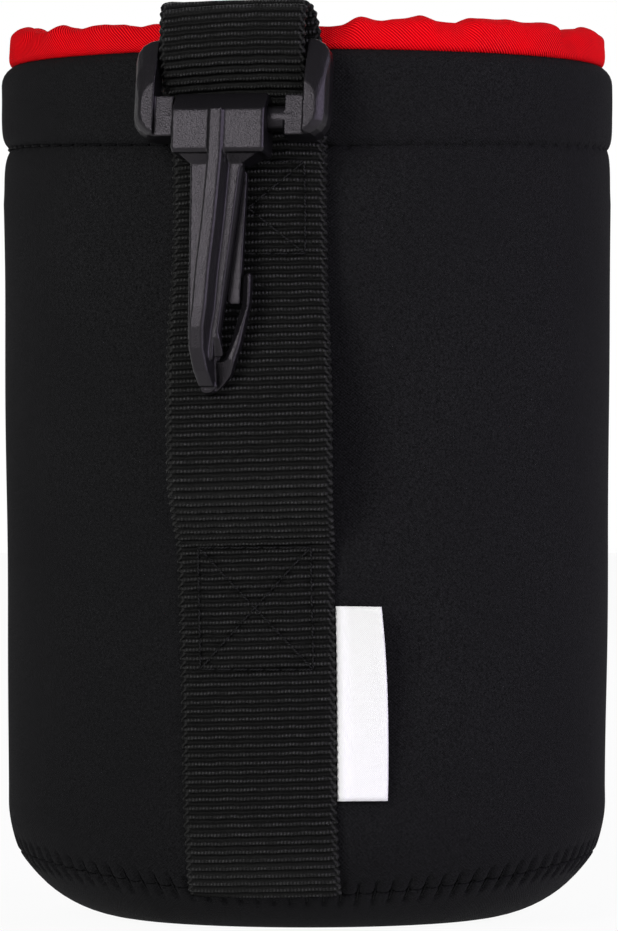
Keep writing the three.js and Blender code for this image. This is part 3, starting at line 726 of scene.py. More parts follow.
@dataclass
class NeopreneBody:
    """The wall with its stitched band, the base panel turned up to the seam, and their stitching."""

    shape: Shape
    cloth: bpy.types.Material
    thread: bpy.types.Material
    band_side_rise: float = 1.6
    band_start: float = 5.0
    pinch_band: float = 1.2
    pinch_band_fall: float = 0.95
    pinch_side: float = 0.9
    pinch_side_fall: float = 1.5
    pinch_lean: float = 0.35
    seam_side_rise: float = 4.5
    seam_gap: float = 0.12
    hem_stitch: float = 3.1
    seam_stitch: float = 2.9
    seam_reach: float = 2.1
    seam_lip: float = 0.35
    seam_lip_reach: float = 0.45
    seam_hold: float = 0.34
    seam_end: float = 0.22
    seam_end_reach: float = 0.5
    seam_bulge: float = 0.22
    wall_sway: float = 0.16
    wall_ripple: float = 0.06
    band_sway: float = 0.05
    hem_reach: float = 6.0
    hem_dent: float = 0.3
    hem_dent_reach: float = 0.5
    hem_fold: float = 0.05
    hem_fold_reach: float = 2.0
    back_stitch: float = 2.6
    back_reach: float = 1.7
    back_groove: float = 0.45
    back_groove_reach: float = 0.55
    hem_thread: float = 0.2
    seam_thread: float = 0.16
    back_thread: float = 0.15
    around: int = 1080
    base_rings: Sequence[float] = (0.12, 0.4, 0.7, 0.9)
    seam_steps: Sequence[float] = (0.0, 0.15, 0.35, 0.6, 0.9, 1.25, 1.6, 1.95, 2.3, 2.7, 3.2, 3.8, 4.5, 5.5)
    hem_steps: Sequence[float] = (0.12, 0.26, 0.42, 0.6, 0.8, 1.0, 1.25, 1.55, 1.9, 2.3, 2.8, 3.4, 4.1, 5.0)
    joint_rows: tuple[int, int] = (15, 90)

    def __post_init__(self) -> None:
        """Sets the columns that the wall and the base share."""
        self.turn = self.shape.turns(self.around)
        self.arc = self.shape.arc_at(self.turn)
        self.seam_pitch = self.shape.pitch(self.seam_stitch)
        self.hem_pitch = self.shape.pitch(self.hem_stitch)

    def seam_rise(self, turn: np.ndarray) -> np.ndarray:
        """Angle up the corner at which the base seam lies."""
        height = self.shape.seam_front + self.seam_side_rise * np.sin(turn) ** 2
        return np.arccos(1 - height / self.shape.corner_rise)

    def band_foot(self, turn: np.ndarray) -> np.ndarray:
        """Height of the band's stitch line, a little higher at the oval's two ends."""
        return self.shape.stitch_height + self.band_side_rise * np.sin(turn) ** 2

    def seam_push(self, away: float, pucker: np.ndarray) -> np.ndarray:
        """How far the cloth lies under its plain face beside the base seam.

        Args:
            away: Distance from the joint.
            pucker: A wave that is one where the thread crosses the joint.

        Returns:
            Depths, where less than zero bulges out.
        """
        grip = (0.5 + 0.5 * pucker) ** 3
        hold = self.seam_hold * math.exp(-((away / self.seam_reach) ** 4))
        lip = self.seam_lip * max(0.0, 1 - away / self.seam_lip_reach) ** 2
        end = self.seam_end * math.exp(-(((away - self.seam_reach) / self.seam_end_reach) ** 2))
        bulge = self.seam_bulge * math.exp(-((away / (1.3 * self.seam_reach)) ** 2))
        return lip + (hold + end) * grip - bulge * (1 - grip)

    def add_seam(self, section: Section, steps: Iterable[float], way: int) -> None:
        """Adds the puckered rows beside the base seam.

        Args:
            section: The section they go into.
            steps: Their distances from the joint.
            way: 1 for rows above the seam, -1 for rows below it.
        """
        pucker = np.cos(TURN * self.arc / self.seam_pitch)
        for step in steps:
            rise = self.seam_rise(self.turn) + way * self.shape.corner_angle(step + self.seam_gap)
            inset, height = self.shape.corner(rise)
            push = self.seam_push(step + self.seam_gap, pucker)
            section.add(inset + push * np.sin(rise), np.maximum(height + push * np.cos(rise), 0.0))

    def add_outer_face(self, section: Section) -> None:
        """Adds the wall's outer face, from the seam up to the top of the band."""
        shape, turn = self.shape, self.turn
        foot = self.band_foot(turn)
        self.add_seam(section, self.seam_steps, 1)
        last = self.seam_rise(turn) + shape.corner_angle(self.seam_steps[-1] + self.seam_gap)
        for share in np.linspace(0, 1, 10)[1:]:
            section.add(*shape.corner(last + (math.pi / 2 - last) * share))
        slow, quick = waves(3, 5, 2, 7)(turn), waves(11, 4, 4, 11)
        for share in np.linspace(0, 1, 40)[1:-1]:
            height = shape.corner_rise + (foot - self.hem_reach - shape.corner_rise) * share
            sway = self.wall_sway * slow * math.sin(math.pi * share) + self.wall_ripple * quick(turn + share * 1.5)
            section.add(shape.side_inset(height, foot) - sway, height)
        stitches = np.cos(TURN * self.arc / self.hem_pitch)
        hole = 0.5 + 0.5 * stitches
        pull = (0.9 + 0.1 * hole) * (1 - self.pinch_lean * np.sin(turn))
        for rise in (-self.hem_reach, *(-step for step in reversed(self.hem_steps)), 0.0, *self.hem_steps):
            if rise <= 0:
                pinch = 0.1 + self.pinch_side * math.exp(rise / self.pinch_side_fall)
                inset = shape.side_inset(foot + rise, foot) + pinch * pull
            else:
                inset = self.pinch_band * math.exp(-rise / self.pinch_band_fall) * pull - shape.band_bulge
            dent = self.hem_dent * math.exp(-((rise / self.hem_dent_reach) ** 2)) * hole**3
            fold = self.hem_fold * math.exp(-abs(rise) / self.hem_fold_reach) * stitches
            section.add(inset + dent - fold, foot + rise)
        start, top = foot + self.band_start, shape.rim_height - shape.neoprene
        for share in np.linspace(0, 1, 9)[1:]:
            sway = self.band_sway * slow * math.sin(math.pi * share)
            section.add(-shape.band_bulge - sway, start + (top - start) * share)

    def add_inner_face(self, section: Section) -> None:
        """Adds the rounded rim, the band's folded-in flap and the wall's inner face down to the seam."""
        shape, turn, thick = self.shape, self.turn, self.shape.neoprene
        foot = self.band_foot(turn)
        middle = thick - shape.band_bulge
        for angle in np.linspace(0, math.pi, 14)[1:]:
            section.add(middle - thick * math.cos(angle), shape.rim_height - thick + thick * math.sin(angle))
        flap = middle + thick
        ends = ((flap, -1.4), (flap - 0.45, 0.0), (flap - 0.2, 1.8), (flap - 0.9, 2.3), (thick + 0.4, 2.5))
        for inset, drop in ends:
            section.add(inset, foot - drop)
        for share in (0.85, 0.6, 0.35, 0.1):
            height = shape.corner_rise + (foot - shape.corner_rise) * share
            section.add(shape.side_inset(height, foot) + thick, height)
        first = self.seam_rise(turn) + shape.corner_angle(self.seam_gap)
        for share in np.linspace(1, 0, 9):
            section.add(*shape.corner(first + (math.pi / 2 - first) * share, thick))

    def wall_piece(self) -> bpy.types.Object:
        """The wall: one sheet, closed at the back, its top folded in and stitched down as a band."""
        section = Section(self.turn)
        self.add_outer_face(section)
        self.add_inner_face(section)
        points = section.points(self.shape)
        joint = self.back_groove * np.exp(-(((self.arc - self.shape.girth() / 2) / self.back_groove_reach) ** 2))
        out = points * np.array([1.0, 1.0, 0.0])
        out /= np.linalg.norm(out, axis=2, keepdims=True)
        first, last = self.joint_rows
        points[first:last] -= (out * joint[None, :, None])[first:last]
        piece = Skin("neoprene_wall", points, across=self.shape.marks(self.around)).make()
        dress(piece, self.cloth, Slot.NEOPRENE, Body.POUCH, "body_wall")
        return piece

    def base_piece(self) -> bpy.types.Object:
        """The base panel: flat where it stands, turned up to the seam with a rounded lip."""
        shape = self.shape
        section = Section(self.turn)
        last = self.seam_rise(self.turn)
        flat = shape.half_depth - shape.corner_run - shape.taper
        for share in self.base_rings:
            section.add(shape.half_depth - flat * share, 0.0)
        for share in np.linspace(0, 1, 12)[:-1]:
            section.add(*shape.corner((last - shape.corner_angle(5.0)) * share))
        self.add_seam(section, reversed(self.seam_steps[:-1]), -1)
        for share in np.linspace(1, 0, 9):
            section.add(*shape.corner((last - shape.corner_angle(self.seam_gap)) * share, shape.neoprene))
        for share in reversed(self.base_rings[:-1]):
            section.add(shape.half_depth - flat * share, shape.neoprene)
        points, across = section.points(shape), shape.marks(self.around)
        piece = Skin("neoprene_base", points, closed=False, caps="pole", across=across).make()
        dress(piece, self.cloth, Slot.NEOPRENE, Body.POUCH, "base_panel")
        return piece

    def hem_stitches(self) -> bpy.types.Object:
        """The lockstitch along the foot of the band, sunk in its groove."""
        shares = np.linspace(0.06, 0.94, 7)
        sunk = 1.06 + 0.14 * np.cos(TURN * shares) + 0.15 * (np.abs(shares - 0.5) > 0.4)
        runs = []
        for k in range(round(self.shape.girth() / self.hem_pitch)):
            turn = self.shape.turn_at((k + shares) * self.hem_pitch)
            runs.append(self.shape.point(turn, sunk, self.band_foot(turn) + 0.04))
        return dress(thread_piece("band_stitches", runs, self.hem_thread), self.thread, Slot.NEOPRENE, Body.POUCH)

    def seam_stitches(self) -> bpy.types.Object:
        """The flat seam's thread: an upright bar over the joint at each stitch, pulled well into the foam."""
        shares = np.linspace(0, 1, 9)
        sunk = np.array([0.55, 0.3, 0.24, 0.22, 0.22, 0.22, 0.24, 0.3, 0.55])
        runs = []
        for k in range(round(self.shape.girth() / self.seam_pitch)):
            arc = (k + 0.05 * (shares - 0.5)) * self.seam_pitch
            turn = self.shape.turn_at(np.mod(arc, self.shape.girth()))
            rise = self.seam_rise(turn) + self.shape.corner_angle(self.seam_reach * (1 - 2 * shares))
            inset, height = self.shape.corner(rise)
            runs.append(self.shape.point(turn, inset + sunk * np.sin(rise), height + sunk * np.cos(rise)))
        piece = thread_piece("base_seam_stitches", runs, self.seam_thread)
        return dress(piece, self.thread, Slot.NEOPRENE, Body.POUCH)

    def back_stitches(self) -> bpy.types.Object:
        """The zigzag that closes the wall at the back."""
        shape = self.shape
        foot = float(self.band_foot(np.array([math.pi]))[0])
        low = shape.corner_rise - 4.0
        shares = np.linspace(0, 1, 7)
        sunk = np.array([0.25, 0.02, -0.08, 0.0, -0.08, 0.02, 0.25])
        runs = []
        for k in range(2 * round((foot - 1.0 - low) / self.back_stitch)):
            height = low + (k + shares) * self.back_stitch / 2
            turn = shape.turn_at(shape.girth() / 2 + (1 if k % 2 else -1) * self.back_reach * (2 * shares - 1))
            fall = np.sqrt(1 - (1 - np.minimum(height, shape.corner_rise) / shape.corner_rise) ** 2)
            curved = shape.taper + shape.corner_run * (1 - fall)
            inset = np.where(height < shape.corner_rise, curved, shape.side_inset(height, foot))
            runs.append(shape.point(turn, inset + sunk, height))
        piece = thread_piece("back_seam_stitches", runs, self.back_thread)
        return dress(piece, self.thread, Slot.NEOPRENE, Body.POUCH)

    def build(self) -> None:
        """Builds every piece of the body."""
        for piece in (self.wall_piece, self.base_piece, self.hem_stitches, self.seam_stitches, self.back_stitches):
            piece()


# The collar


@dataclass
class Collar:
    """The nylon collar: its fold over the rim, the loose sleeve inside and the hem at its free end."""

    shape: Shape
    cloth: bpy.types.Material
    ply: float = 0.35
    overhang: float = 1.4
    roll: float = 7.7
    tuck: float = 3.4
    sleeve_drop: float = 32.4
    sleeve_inward: float = 0.9
    hem_across: float = 2.6
    hem_tall: float = 7.0
    hem_puff: float = 0.12
    hem_squeeze: float = 0.45
    hem_squeeze_place: float = 0.62
    hem_squeeze_reach: float = 0.16
    around: int = 720
    level_arc: float = 11.0
    front_half: float = 43.0
    back_crest: float = 5.0
    crest_places: Sequence[tuple[float, float]] = (
        (-44.4, 5.45), (-43.3, 5.58), (-42.1, 5.41), (-41.0, 4.83), (-40.0, 4.26), (-39.0, 4.1), (-38.0, 3.95),
        (-37.0, 4.4), (-36.0, 4.85), (-35.1, 4.35), (-34.1, 3.77), (-33.2, 3.86), (-31.3, 4.26), (-29.5, 4.32),
        (-27.6, 3.89), (-25.8, 3.92), (-24.0, 3.58), (-22.1, 3.93), (-16.0, 3.7), (-6.0, 3.4), (3.4, 3.14),
        (5.2, 3.37), (6.1, 3.9), (7.0, 4.48), (7.8, 4.67), (8.7, 4.36), (9.6, 3.98), (10.5, 3.95), (12.3, 4.36),
        (14.1, 4.5), (15.9, 4.61), (16.8, 4.83), (17.7, 4.64), (18.6, 4.28), (20.4, 4.13), (22.2, 4.04),
        (23.1, 4.36), (24.0, 4.81), (25.8, 4.96), (27.6, 4.92), (29.5, 4.95), (31.3, 4.69), (33.2, 4.81),
        (35.1, 4.99), (35.8, 5.04), (36.4, 3.55), (37.6, 3.95), (40.0, 4.8), (42.1, 5.29), (43.3, 4.85),
        (44.4, 5.34), (45.4, 5.15),
    )

    def __post_init__(self) -> None:
        """Sets the columns and the inset of the fold's inner side."""
        self.turn = self.shape.turns(self.around)
        self.inner = self.overhang + self.roll

    def crest(self) -> np.ndarray:
        """How high the fold's crest stands over the rim: gathered folds, lower in front."""
        places, rises = (np.array(values) for values in zip(*self.crest_places))
        front = np.interp(self.front_half * np.sin(self.turn), places, rises)
        back = self.back_crest + 0.5 * waves(21, 6, 9, 22)(self.turn)
        share = np.clip(0.5 + np.cos(self.turn) * 4, 0, 1)
        rise = front * share + back * (1 - share)
        return (2 * rise + np.roll(rise, 1) + np.roll(rise, -1)) / 4

    def tube(self, name: str, places: Sequence[tuple[object, object]], count: int) -> bpy.types.Object:
        """Skins a cloth tube with two faces round a rounded mid line.

        Args:
            name: The piece's name.
            places: Inset and height of places on the mid line, each a number or one for each column.
            count: How many points the mid line gets.

        Returns:
            The object.
        """
        grid = np.array([[inset + 0 * self.turn, height + 0 * self.turn] for inset, height in places])
        padded = np.concatenate([2 * grid[:1] - grid[1:2], grid, 2 * grid[-1:] - grid[-2:-1]])
        line = []
        for at in np.linspace(0, len(grid) - 1, count):
            k = min(int(at), len(grid) - 2)
            t = at - k
            a, b, c, d = padded[k : k + 4]
            bent = (2 * a - 5 * b + 4 * c - d) * t**2 + (3 * b - a - 3 * c + d) * t**3
            line.append(0.5 * (2 * b + (c - a) * t + bent))
        insets, heights = np.array(line).transpose(1, 0, 2)
        step_in, step_up = np.gradient(insets, axis=0), np.gradient(heights, axis=0)
        half = self.ply / 2 / np.hypot(step_in, step_up)
        outer, inner = (
            self.shape.point(self.turn[None], insets + sign * step_up * half, heights - sign * step_in * half)
            for sign in (1, -1)
        )
        return Skin(name, np.concatenate([outer, inner[::-1]]), across=self.shape.marks(self.around)).make()

    def fold_piece(self) -> bpy.types.Object:
        """The stitched end of the collar, up over the rim, gathered, and folded back down inside."""
        shape, over, inner, rim = self.shape, self.overhang, self.inner, self.shape.rim_height
        wide, fine = waves(31, 7, 8, 20)(self.turn), waves(32, 9, 24, 60)(self.turn)
        crest = self.crest()
        spread = round(self.around * self.level_arc / shape.girth())
        level = np.mean([np.roll(crest, k) for k in range(-spread, spread + 1)], axis=0)
        puff = np.clip((crest - level) / 0.45, -1.0, 1.0)
        radius = shape.neoprene + shape.clearance + self.ply
        band, low = shape.neoprene - shape.band_bulge, rim - shape.neoprene
        places = [
            (band + radius, shape.stitch_height + 3.5),
            (band + radius, low - 5.0),
            (band + radius, low),
            (band + radius * math.cos(0.8), low + radius * math.sin(0.8)),
            (band + 0.5, low + radius + 0.05),
            (over + 0.9, rim + 0.12),
            (over + 0.25, rim - 0.03),
            (over - 0.2, rim + 0.5),
            (over - 0.25 - 0.12 * puff, rim + 0.3 * crest),
            (over - 0.1 - 0.3 * puff + 0.1 * wide, rim + 0.55 * crest),
            (over + 0.3 - 0.45 * puff + 0.1 * fine, rim + 0.82 * crest),
            (over + 1.5 + 0.3 * wide + 0.12 * fine, rim + crest - 0.1),
            ((over + inner) / 2 - 0.6 + 0.4 * wide, rim + crest - 0.25 - 0.2 * fine),
            (inner - 1.1 + 0.5 * wide + 0.25 * fine, rim + 0.55 * crest),
            (inner + 0.45 * wide + 0.25 * fine, rim + 0.4),
            (inner + 0.3 * wide + 0.15 * fine, rim - self.tuck),
        ]
        piece = self.tube("collar_fold_cloth", places, 92)
        dress(piece, self.cloth, Slot.NYLON, Body.POUCH, "collar_fold")
        return piece

    def sleeve_piece(self) -> bpy.types.Object:
        """The loose length inside, between the fold and the hem."""
        wide, fine = waves(41, 7, 8, 19)(self.turn), waves(42, 8, 24, 50)(self.turn)
        top = self.shape.rim_height - self.tuck - 0.3
        places = []
        for share in np.linspace(0, 1, 7):
            slack = math.sin(math.pi * (0.12 + 0.76 * share))
            inset = self.inner + 0.5 + self.sleeve_inward * share + slack * (0.5 * wide + 0.25 * fine)
            places.append((inset, top - self.sleeve_drop * share))
        piece = self.tube("collar_sleeve_cloth", places, 40)
        dress(piece, self.cloth, Slot.NYLON, None, "collar_sleeve")
        start, end = (0, 0, top * MM), (0, 0, (top - self.sleeve_drop) * MM)
        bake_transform(piece)
        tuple(start)
        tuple(end)
        return piece

    def hem_piece(self) -> bpy.types.Object:
        """The hem at the free end: a puffed channel, gathered a little."""
        fine = waves(51, 9, 30, 64)(self.turn)
        inset = self.inner + 0.5 + self.sleeve_inward + self.hem_across / 3
        height = self.shape.rim_height - self.tuck - 0.6 - self.sleeve_drop - self.hem_tall / 2
        section = Section(self.turn)
        for angle in np.linspace(0, TURN, 25)[:-1]:
            out, up = math.cos(angle), math.sin(angle)
            puff = 1 + self.hem_puff * fine * abs(out)
            off = (up - self.hem_squeeze_place) / self.hem_squeeze_reach
            squeeze = 1 - self.hem_squeeze * math.exp(-(off**2))
            section.add(inset + self.hem_across / 2 * out * puff * squeeze, height + self.hem_tall / 2 * up)
        points = section.points(self.shape)
        piece = Skin("collar_hem_channel", points, across=self.shape.marks(self.around)).make()
        return dress(piece, self.cloth, Slot.NYLON, Body.COLLAR_END, "collar_hem")

    def build(self) -> None:
        """Builds every piece of the collar."""
        self.fold_piece()
        self.sleeve_piece()
        self.hem_piece()


# The strap


@dataclass
class BeltStrap:
    """The webbing: up the wall, out over the belt, through the frame, over its top bar and down behind.

    Its run is laid down as rows of lean (0 at the foot, 1 at the head), height, lift off the oval's widest line,
    share of the full width, and how far it bends with the oval. The tables hold lean, place and lift as shares.
    """

    shape: Shape
    cloth: bpy.types.Material
    thread: bpy.types.Material
    width: float = 24.4
    thickness: float = 1.4
    foot_x: float = -6.9
    head_x: float = -9.75
    lower_tack: float = 39.2
    lower_tack_height: float = 18.7
    upper_tack: float = 100.6
    upper_tack_height: float = 14.0
    belt_gap: float = 7.6
    loop_rise: float = 7.0
    bar_rise: float = 15.4
    bar_radius: float = 1.45
    frame_height: float = 14.8
    rib_height: float = 0.42
    rib_roundness: float = 0.8
    rib_level: float = 0.62
    rib_tilt: float = 0.03
    rib_arch: float = 0.4
    rib_drift: float = 0.018
    steps_per_rib: int = 8
    columns: int = 44
    edge_places: Sequence[float] = (1.0, 0.985, 0.955, 0.91)
    edge_falls: Sequence[float] = (0.62, 0.4, 0.2, 0.06)
    edge_depth: float = 0.55
    edge_notch: float = 0.12
    tack_half: float = 8.4
    tack_stitch: float = 2.3
    tack_thread: float = 0.15
    tack_insets: Sequence[tuple[float, float]] = ((0.4, 0.2), (0.0, 0.5))
    tack_depth: float = 0.27
    tack_spread: float = 0.45
    tack_reach: float = 3.0
    gap_rows: Sequence[tuple[float, ...]] = (
        (0.25, 0.01, 0, 0.965, 0.9), (0.22, 0.1, 0.42, 0.98, 0.6), (0.16, 0.22, 0.86, 1, 0.3),
        (0.13, 0.38, 1, 1, 0.2), (0.18, 0.55, 0.92, 1, 0.3), (0.32, 0.76, 0.6, 0.98, 0.6),
    )
    frame_rows: Sequence[tuple[float, ...]] = (
        (0.78, 0.728, 0, 0.9, 0.8), (0.95, 0.499, 0.02, 0.885, 0.5), (1, 0.364, 0.22, 0.885, 0.3),
        (1, 0.146, 0.75, 0.885, 0.2), (1, 0, 1, 0.885, 0.15),
    )

    def __post_init__(self) -> None:
        """Measures the route, so that places along it can be looked up."""
        self.stations = self.route()
        self.axes = self.route_axes()
        steps = np.linalg.norm(np.diff(self.axes[0], axis=0), axis=1)
        self.lengths = np.concatenate([[0], np.cumsum(steps)])

    def run(self) -> np.ndarray:
        """The rows of the strap's run."""
        shape, up, gap = self.shape, self.upper_tack, self.shape.clearance
        lower_top = self.lower_tack + self.lower_tack_height
        upper_top = up + self.upper_tack_height
        bar = upper_top + self.bar_rise
        sewn = gap + self.thickness / 2
        rear = shape.band_bulge + sewn
        front = rear + self.thickness + gap
        bar_lift = rear + self.thickness / 2 + gap + self.bar_radius
        over = bar_lift + self.bar_radius + gap + self.thickness / 2
        bow = self.belt_gap + self.thickness / 2
        rows = []
        low, rise = shape.seam_front + gap, shape.corner_rise
        for share in (0, 0.25, 0.5, 0.75):
            height = low + (rise - low) * share
            fall = math.sqrt(1 - (1 - height / rise) ** 2)
            rows.append((0, height, sewn / fall - shape.taper - shape.corner_run * (1 - fall), 0.93, 1))
        walls = ((0.05, rise, 0.93), (0.1, (rise + self.lower_tack) / 2, 0.935), (0.15, self.lower_tack, 0.94))
        for lean, height, width in (*walls, (0.25, self.lower_tack + 0.75 * self.lower_tack_height, 0.95)):
            rows.append((lean, height, sewn - shape.side_inset(height, shape.stitch_height), width, 1))
        for lean, place, out, width, bend in self.gap_rows:
            rows.append((lean, lower_top + (up - lower_top) * place, sewn + (bow - sewn) * out, width, bend))
        rows.append((0.41, lower_top + (up - lower_top) * 0.95, front + gap, 0.945, 0.9))
        rows.append((0.42, up + 0.4 * self.upper_tack_height, front, 0.93, 1))
        rows.append((0.48, upper_top, front, 0.93, 1))
        for lean, drop, out, width, bend in self.frame_rows:
            rows.append((lean, bar - self.frame_height * drop, front + (over - front) * out, width, bend))
        rises = (
            (0.45, over, 0.885, 0.15), (0.85, bar_lift + 0.7 * (over - bar_lift), 0.89, 0.15),
            (1, bar_lift, 0.905, 0.2), (0.85, bar_lift + 0.7 * (rear - bar_lift), 0.95, 0.3),
            (0.45, rear, 0.985, 0.7), (0, rear, 1, 1),
        )
        for place, lift, width, bend in rises:
            rows.append((1, bar + self.loop_rise * place, lift, width, bend))
        rows.append((0.8, upper_top + 0.4 * self.bar_rise, rear, 0.985, 1))
        rows.append((0.48, upper_top, rear, 0.93, 1))
        rows.append((0.4, up + self.thickness, rear, 0.9, 1))
        return np.array(rows, float)

    def route(self, per_place: int = 24) -> np.ndarray:
        """A smooth line through the run, as the solid's strap follows it.

        Args:
            per_place: Points between two places.

        Returns:
            Rows of x, height, lift, width and bend.
        """
        run, scale = self.run(), self.shape.rim_height
        places = run[:, :3] / (1, scale, scale)
        padded = np.concatenate([2 * places[:1] - places[1:2], places, 2 * places[-1:] - places[-2:-1]])
        rows = []
        for step in range((len(run) - 1) * per_place + 1):
            k = min(step // per_place, len(run) - 2)
            t = step / per_place - k
            a, b, c, d = padded[k : k + 4]
            spans = [max(float(((p - q) ** 2).sum()) ** 0.25, 1e-4) for p, q in ((b, a), (c, b), (d, c))]
            enter = ((b - a) / spans[0] - (c - a) / (spans[0] + spans[1]) + (c - b) / spans[1]) * spans[1]
            leave = ((c - b) / spans[1] - (d - b) / (spans[1] + spans[2]) + (d - c) / spans[2]) * spans[1]
            lean, height, lift = (
                b + enter * t + (3 * (c - b) - 2 * enter - leave) * t**2 + (2 * (b - c) + enter + leave) * t**3
            )
            width, bend = run[k, 3:] + (run[k + 1, 3:] - run[k, 3:]) * t
            x = self.foot_x + (self.head_x - self.foot_x) * lean
            rows.append((x, height * scale, lift * scale, self.width * width, bend))
        return np.array(rows)

    def route_axes(self) -> tuple[np.ndarray, ...]:
        """Its middle, the oval's outward and sideways axes, the strap's own outward axis and the oval's bend."""
        x, height, lift = self.stations[:, :3].T
        a, b = self.shape.half_width, self.shape.half_depth
        turn = np.arcsin(x / a)
        out = np.stack([np.sin(turn) / a, -np.cos(turn) / b, 0 * turn], 1)
        out /= np.linalg.norm(out, axis=1, keepdims=True)
        side = np.stack([-out[:, 1], out[:, 0], 0 * turn], 1)
        lift_step, height_step = np.gradient(lift), np.gradient(height)
        size = np.hypot(lift_step, height_step)
        away = out * (height_step / size)[:, None]
        away[:, 2] -= lift_step / size
        middle = self.shape.point(turn, 0.0, 0.0) + out * lift[:, None]
        middle[:, 2] = height
        spread = (a * np.cos(turn)) ** 2 + (b * np.sin(turn)) ** 2
        return middle, out, side, away, (a * b / spread**1.5)[:, None]

    def pick(self, along: np.ndarray, values: np.ndarray) -> np.ndarray:
        """Values of the route at some lengths along the strap, one more axis than the lengths."""
        return np.stack([np.interp(along, self.lengths, column) for column in values.T], -1)

    def on_face(self, along: np.ndarray, across: np.ndarray, proud: np.ndarray, sign: int = 1) -> np.ndarray:
        """Points on one of the strap's faces.

        Args:
            along: Lengths along the strap.
            across: Distances from its middle, to the right.
            proud: Heights above the face.
            sign: 1 for the outer face, -1 for the inner one.

        Returns:
            Points, one more axis than the lengths.
        """
        middle, out, side, away, bend = (self.pick(along, values) for values in self.axes)
        sag = self.pick(along, self.stations[:, 4:]) * bend * across[..., None] ** 2 / 2
        lift = (sign * (self.thickness / 2 + proud))[..., None]
        return middle + side * across[..., None] - out * sag + away * lift

    def length_at(self, height: np.ndarray) -> np.ndarray:
        """Length along the front layer at a height."""
        top = int(np.argmax(self.stations[:, 1]))
        return np.interp(height, self.stations[:top, 1], self.lengths[:top])

    def tack_lines(self) -> list[np.ndarray]:
        """Needle holes of the two box tacks, as rows of length along and distance across, one array for each line."""
        tacks = ((self.lower_tack, self.lower_tack_height), (self.upper_tack, self.upper_tack_height))
        lines = []
        for (start, height), (low, high) in zip(tacks, self.tack_insets):
            foot, head = self.length_at(np.array((start + low, start + height - high)))
            corners = np.array([(foot, -1), (foot, 1), (head, 1), (head, -1)]) * (1, self.tack_half)
            for one, other in ((0, 1), (1, 2), (2, 3), (3, 0), (0, 2), (1, 3)):
                way = corners[other] - corners[one]
                count = round(float(np.linalg.norm(way)) / self.tack_stitch)
                lines.append(corners[one] + way * np.linspace(0, 1, count + 1)[:, None])
        return lines

    def tack_dents(self, along: np.ndarray, across: np.ndarray) -> np.ndarray:
        """How far the thread pulls the webbing in round each needle hole.

        Args:
            along: Lengths along the strap, rows by columns.
            across: Distances across, rows by columns.

        Returns:
            Depths, rows by columns, all zero or less.
        """
        dents = np.zeros_like(across)
        for length, sideways in np.concatenate(self.tack_lines()):
            rows = np.abs(along[:, 0] - length) < self.tack_reach
            far = (along[rows] - length) ** 2 + (across[rows] - sideways) ** 2
            dents[rows] = np.minimum(dents[rows], -self.tack_depth * np.exp(-far / self.tack_spread))
        return dents

    def strap_piece(self) -> bpy.types.Object:
        """The webbing, every rib a real ridge, pulled down where the tacks are sewn."""
        end = self.lengths[-1]
        row = np.linspace(0, end, int(end / RIB_PITCH) * self.steps_per_rib + 1)
        *outer, last = self.edge_places
        shares = np.array([*(-place for place in outer), *np.linspace(-last, last, self.columns), *outer[::-1]])
        edge = np.array([*self.edge_falls, *[0.0] * (self.columns - 2), *self.edge_falls[::-1]])
        looped = 1 / (1 + np.exp((self.upper_tack - self.pick(row, self.stations[:, 1:2])) / 4.0))
        shift = self.rib_tilt * shares * self.width / 2 - self.rib_arch * looped * shares**2
        shift = shift + self.rib_drift * waves(61, 5, 2, 9)(shares * 2.5 + row[:, None] / 40)
        along = np.clip(row[:, None] + shift, 0, end)
        ribbed = 0.5 + 0.5 * np.cos(TURN * row[:, None] / RIB_PITCH)
        across = shares * self.pick(along, self.stations[:, 3:4])[..., 0] / 2
        across = across + np.sign(across) * self.edge_notch * (2 * ribbed - 1) * (np.abs(shares) > last)
        rib = self.rib_height * (ribbed**self.rib_roundness - self.rib_level)
        proud = rib * (1 - edge) - edge * self.thickness * self.edge_depth
        front = self.on_face(along, across, proud + self.tack_dents(along, across))
        points = np.concatenate([front, self.on_face(along, across, proud, -1)[:, ::-1]], axis=1)
        half = self.width / 2
        flat = np.concatenate([shares * half, shares[::-1] * half + INNER_FACE, [-half]])
        piece = Skin("belt_strap_webbing", points, closed=False, caps="zip", down=row, across=flat).make()
        return dress(piece, self.cloth, Slot.WEBBING, Body.POUCH, "belt_strap")

    def tack_stitches(self) -> bpy.types.Object:
        """The thread of the two box tacks."""
        shares = np.linspace(0, 1, 7)[:, None]
        sunk = np.array([-0.35, -0.05, 0.08, 0.1, 0.08, -0.05, -0.35])
        runs = []
        for line in self.tack_lines():
            for one, other in zip(line[:-1], line[1:]):
                along, across = (one + (other - one) * shares).T
                runs.append(self.on_face(along, across, sunk))
        piece = thread_piece("strap_tack_stitches", runs, self.tack_thread)
        return dress(piece, self.thread, Slot.WEBBING, Body.POUCH)

    def build(self) -> None:
        """Builds every piece of the strap."""
        self.strap_piece()
        self.tack_stitches()


# The tab


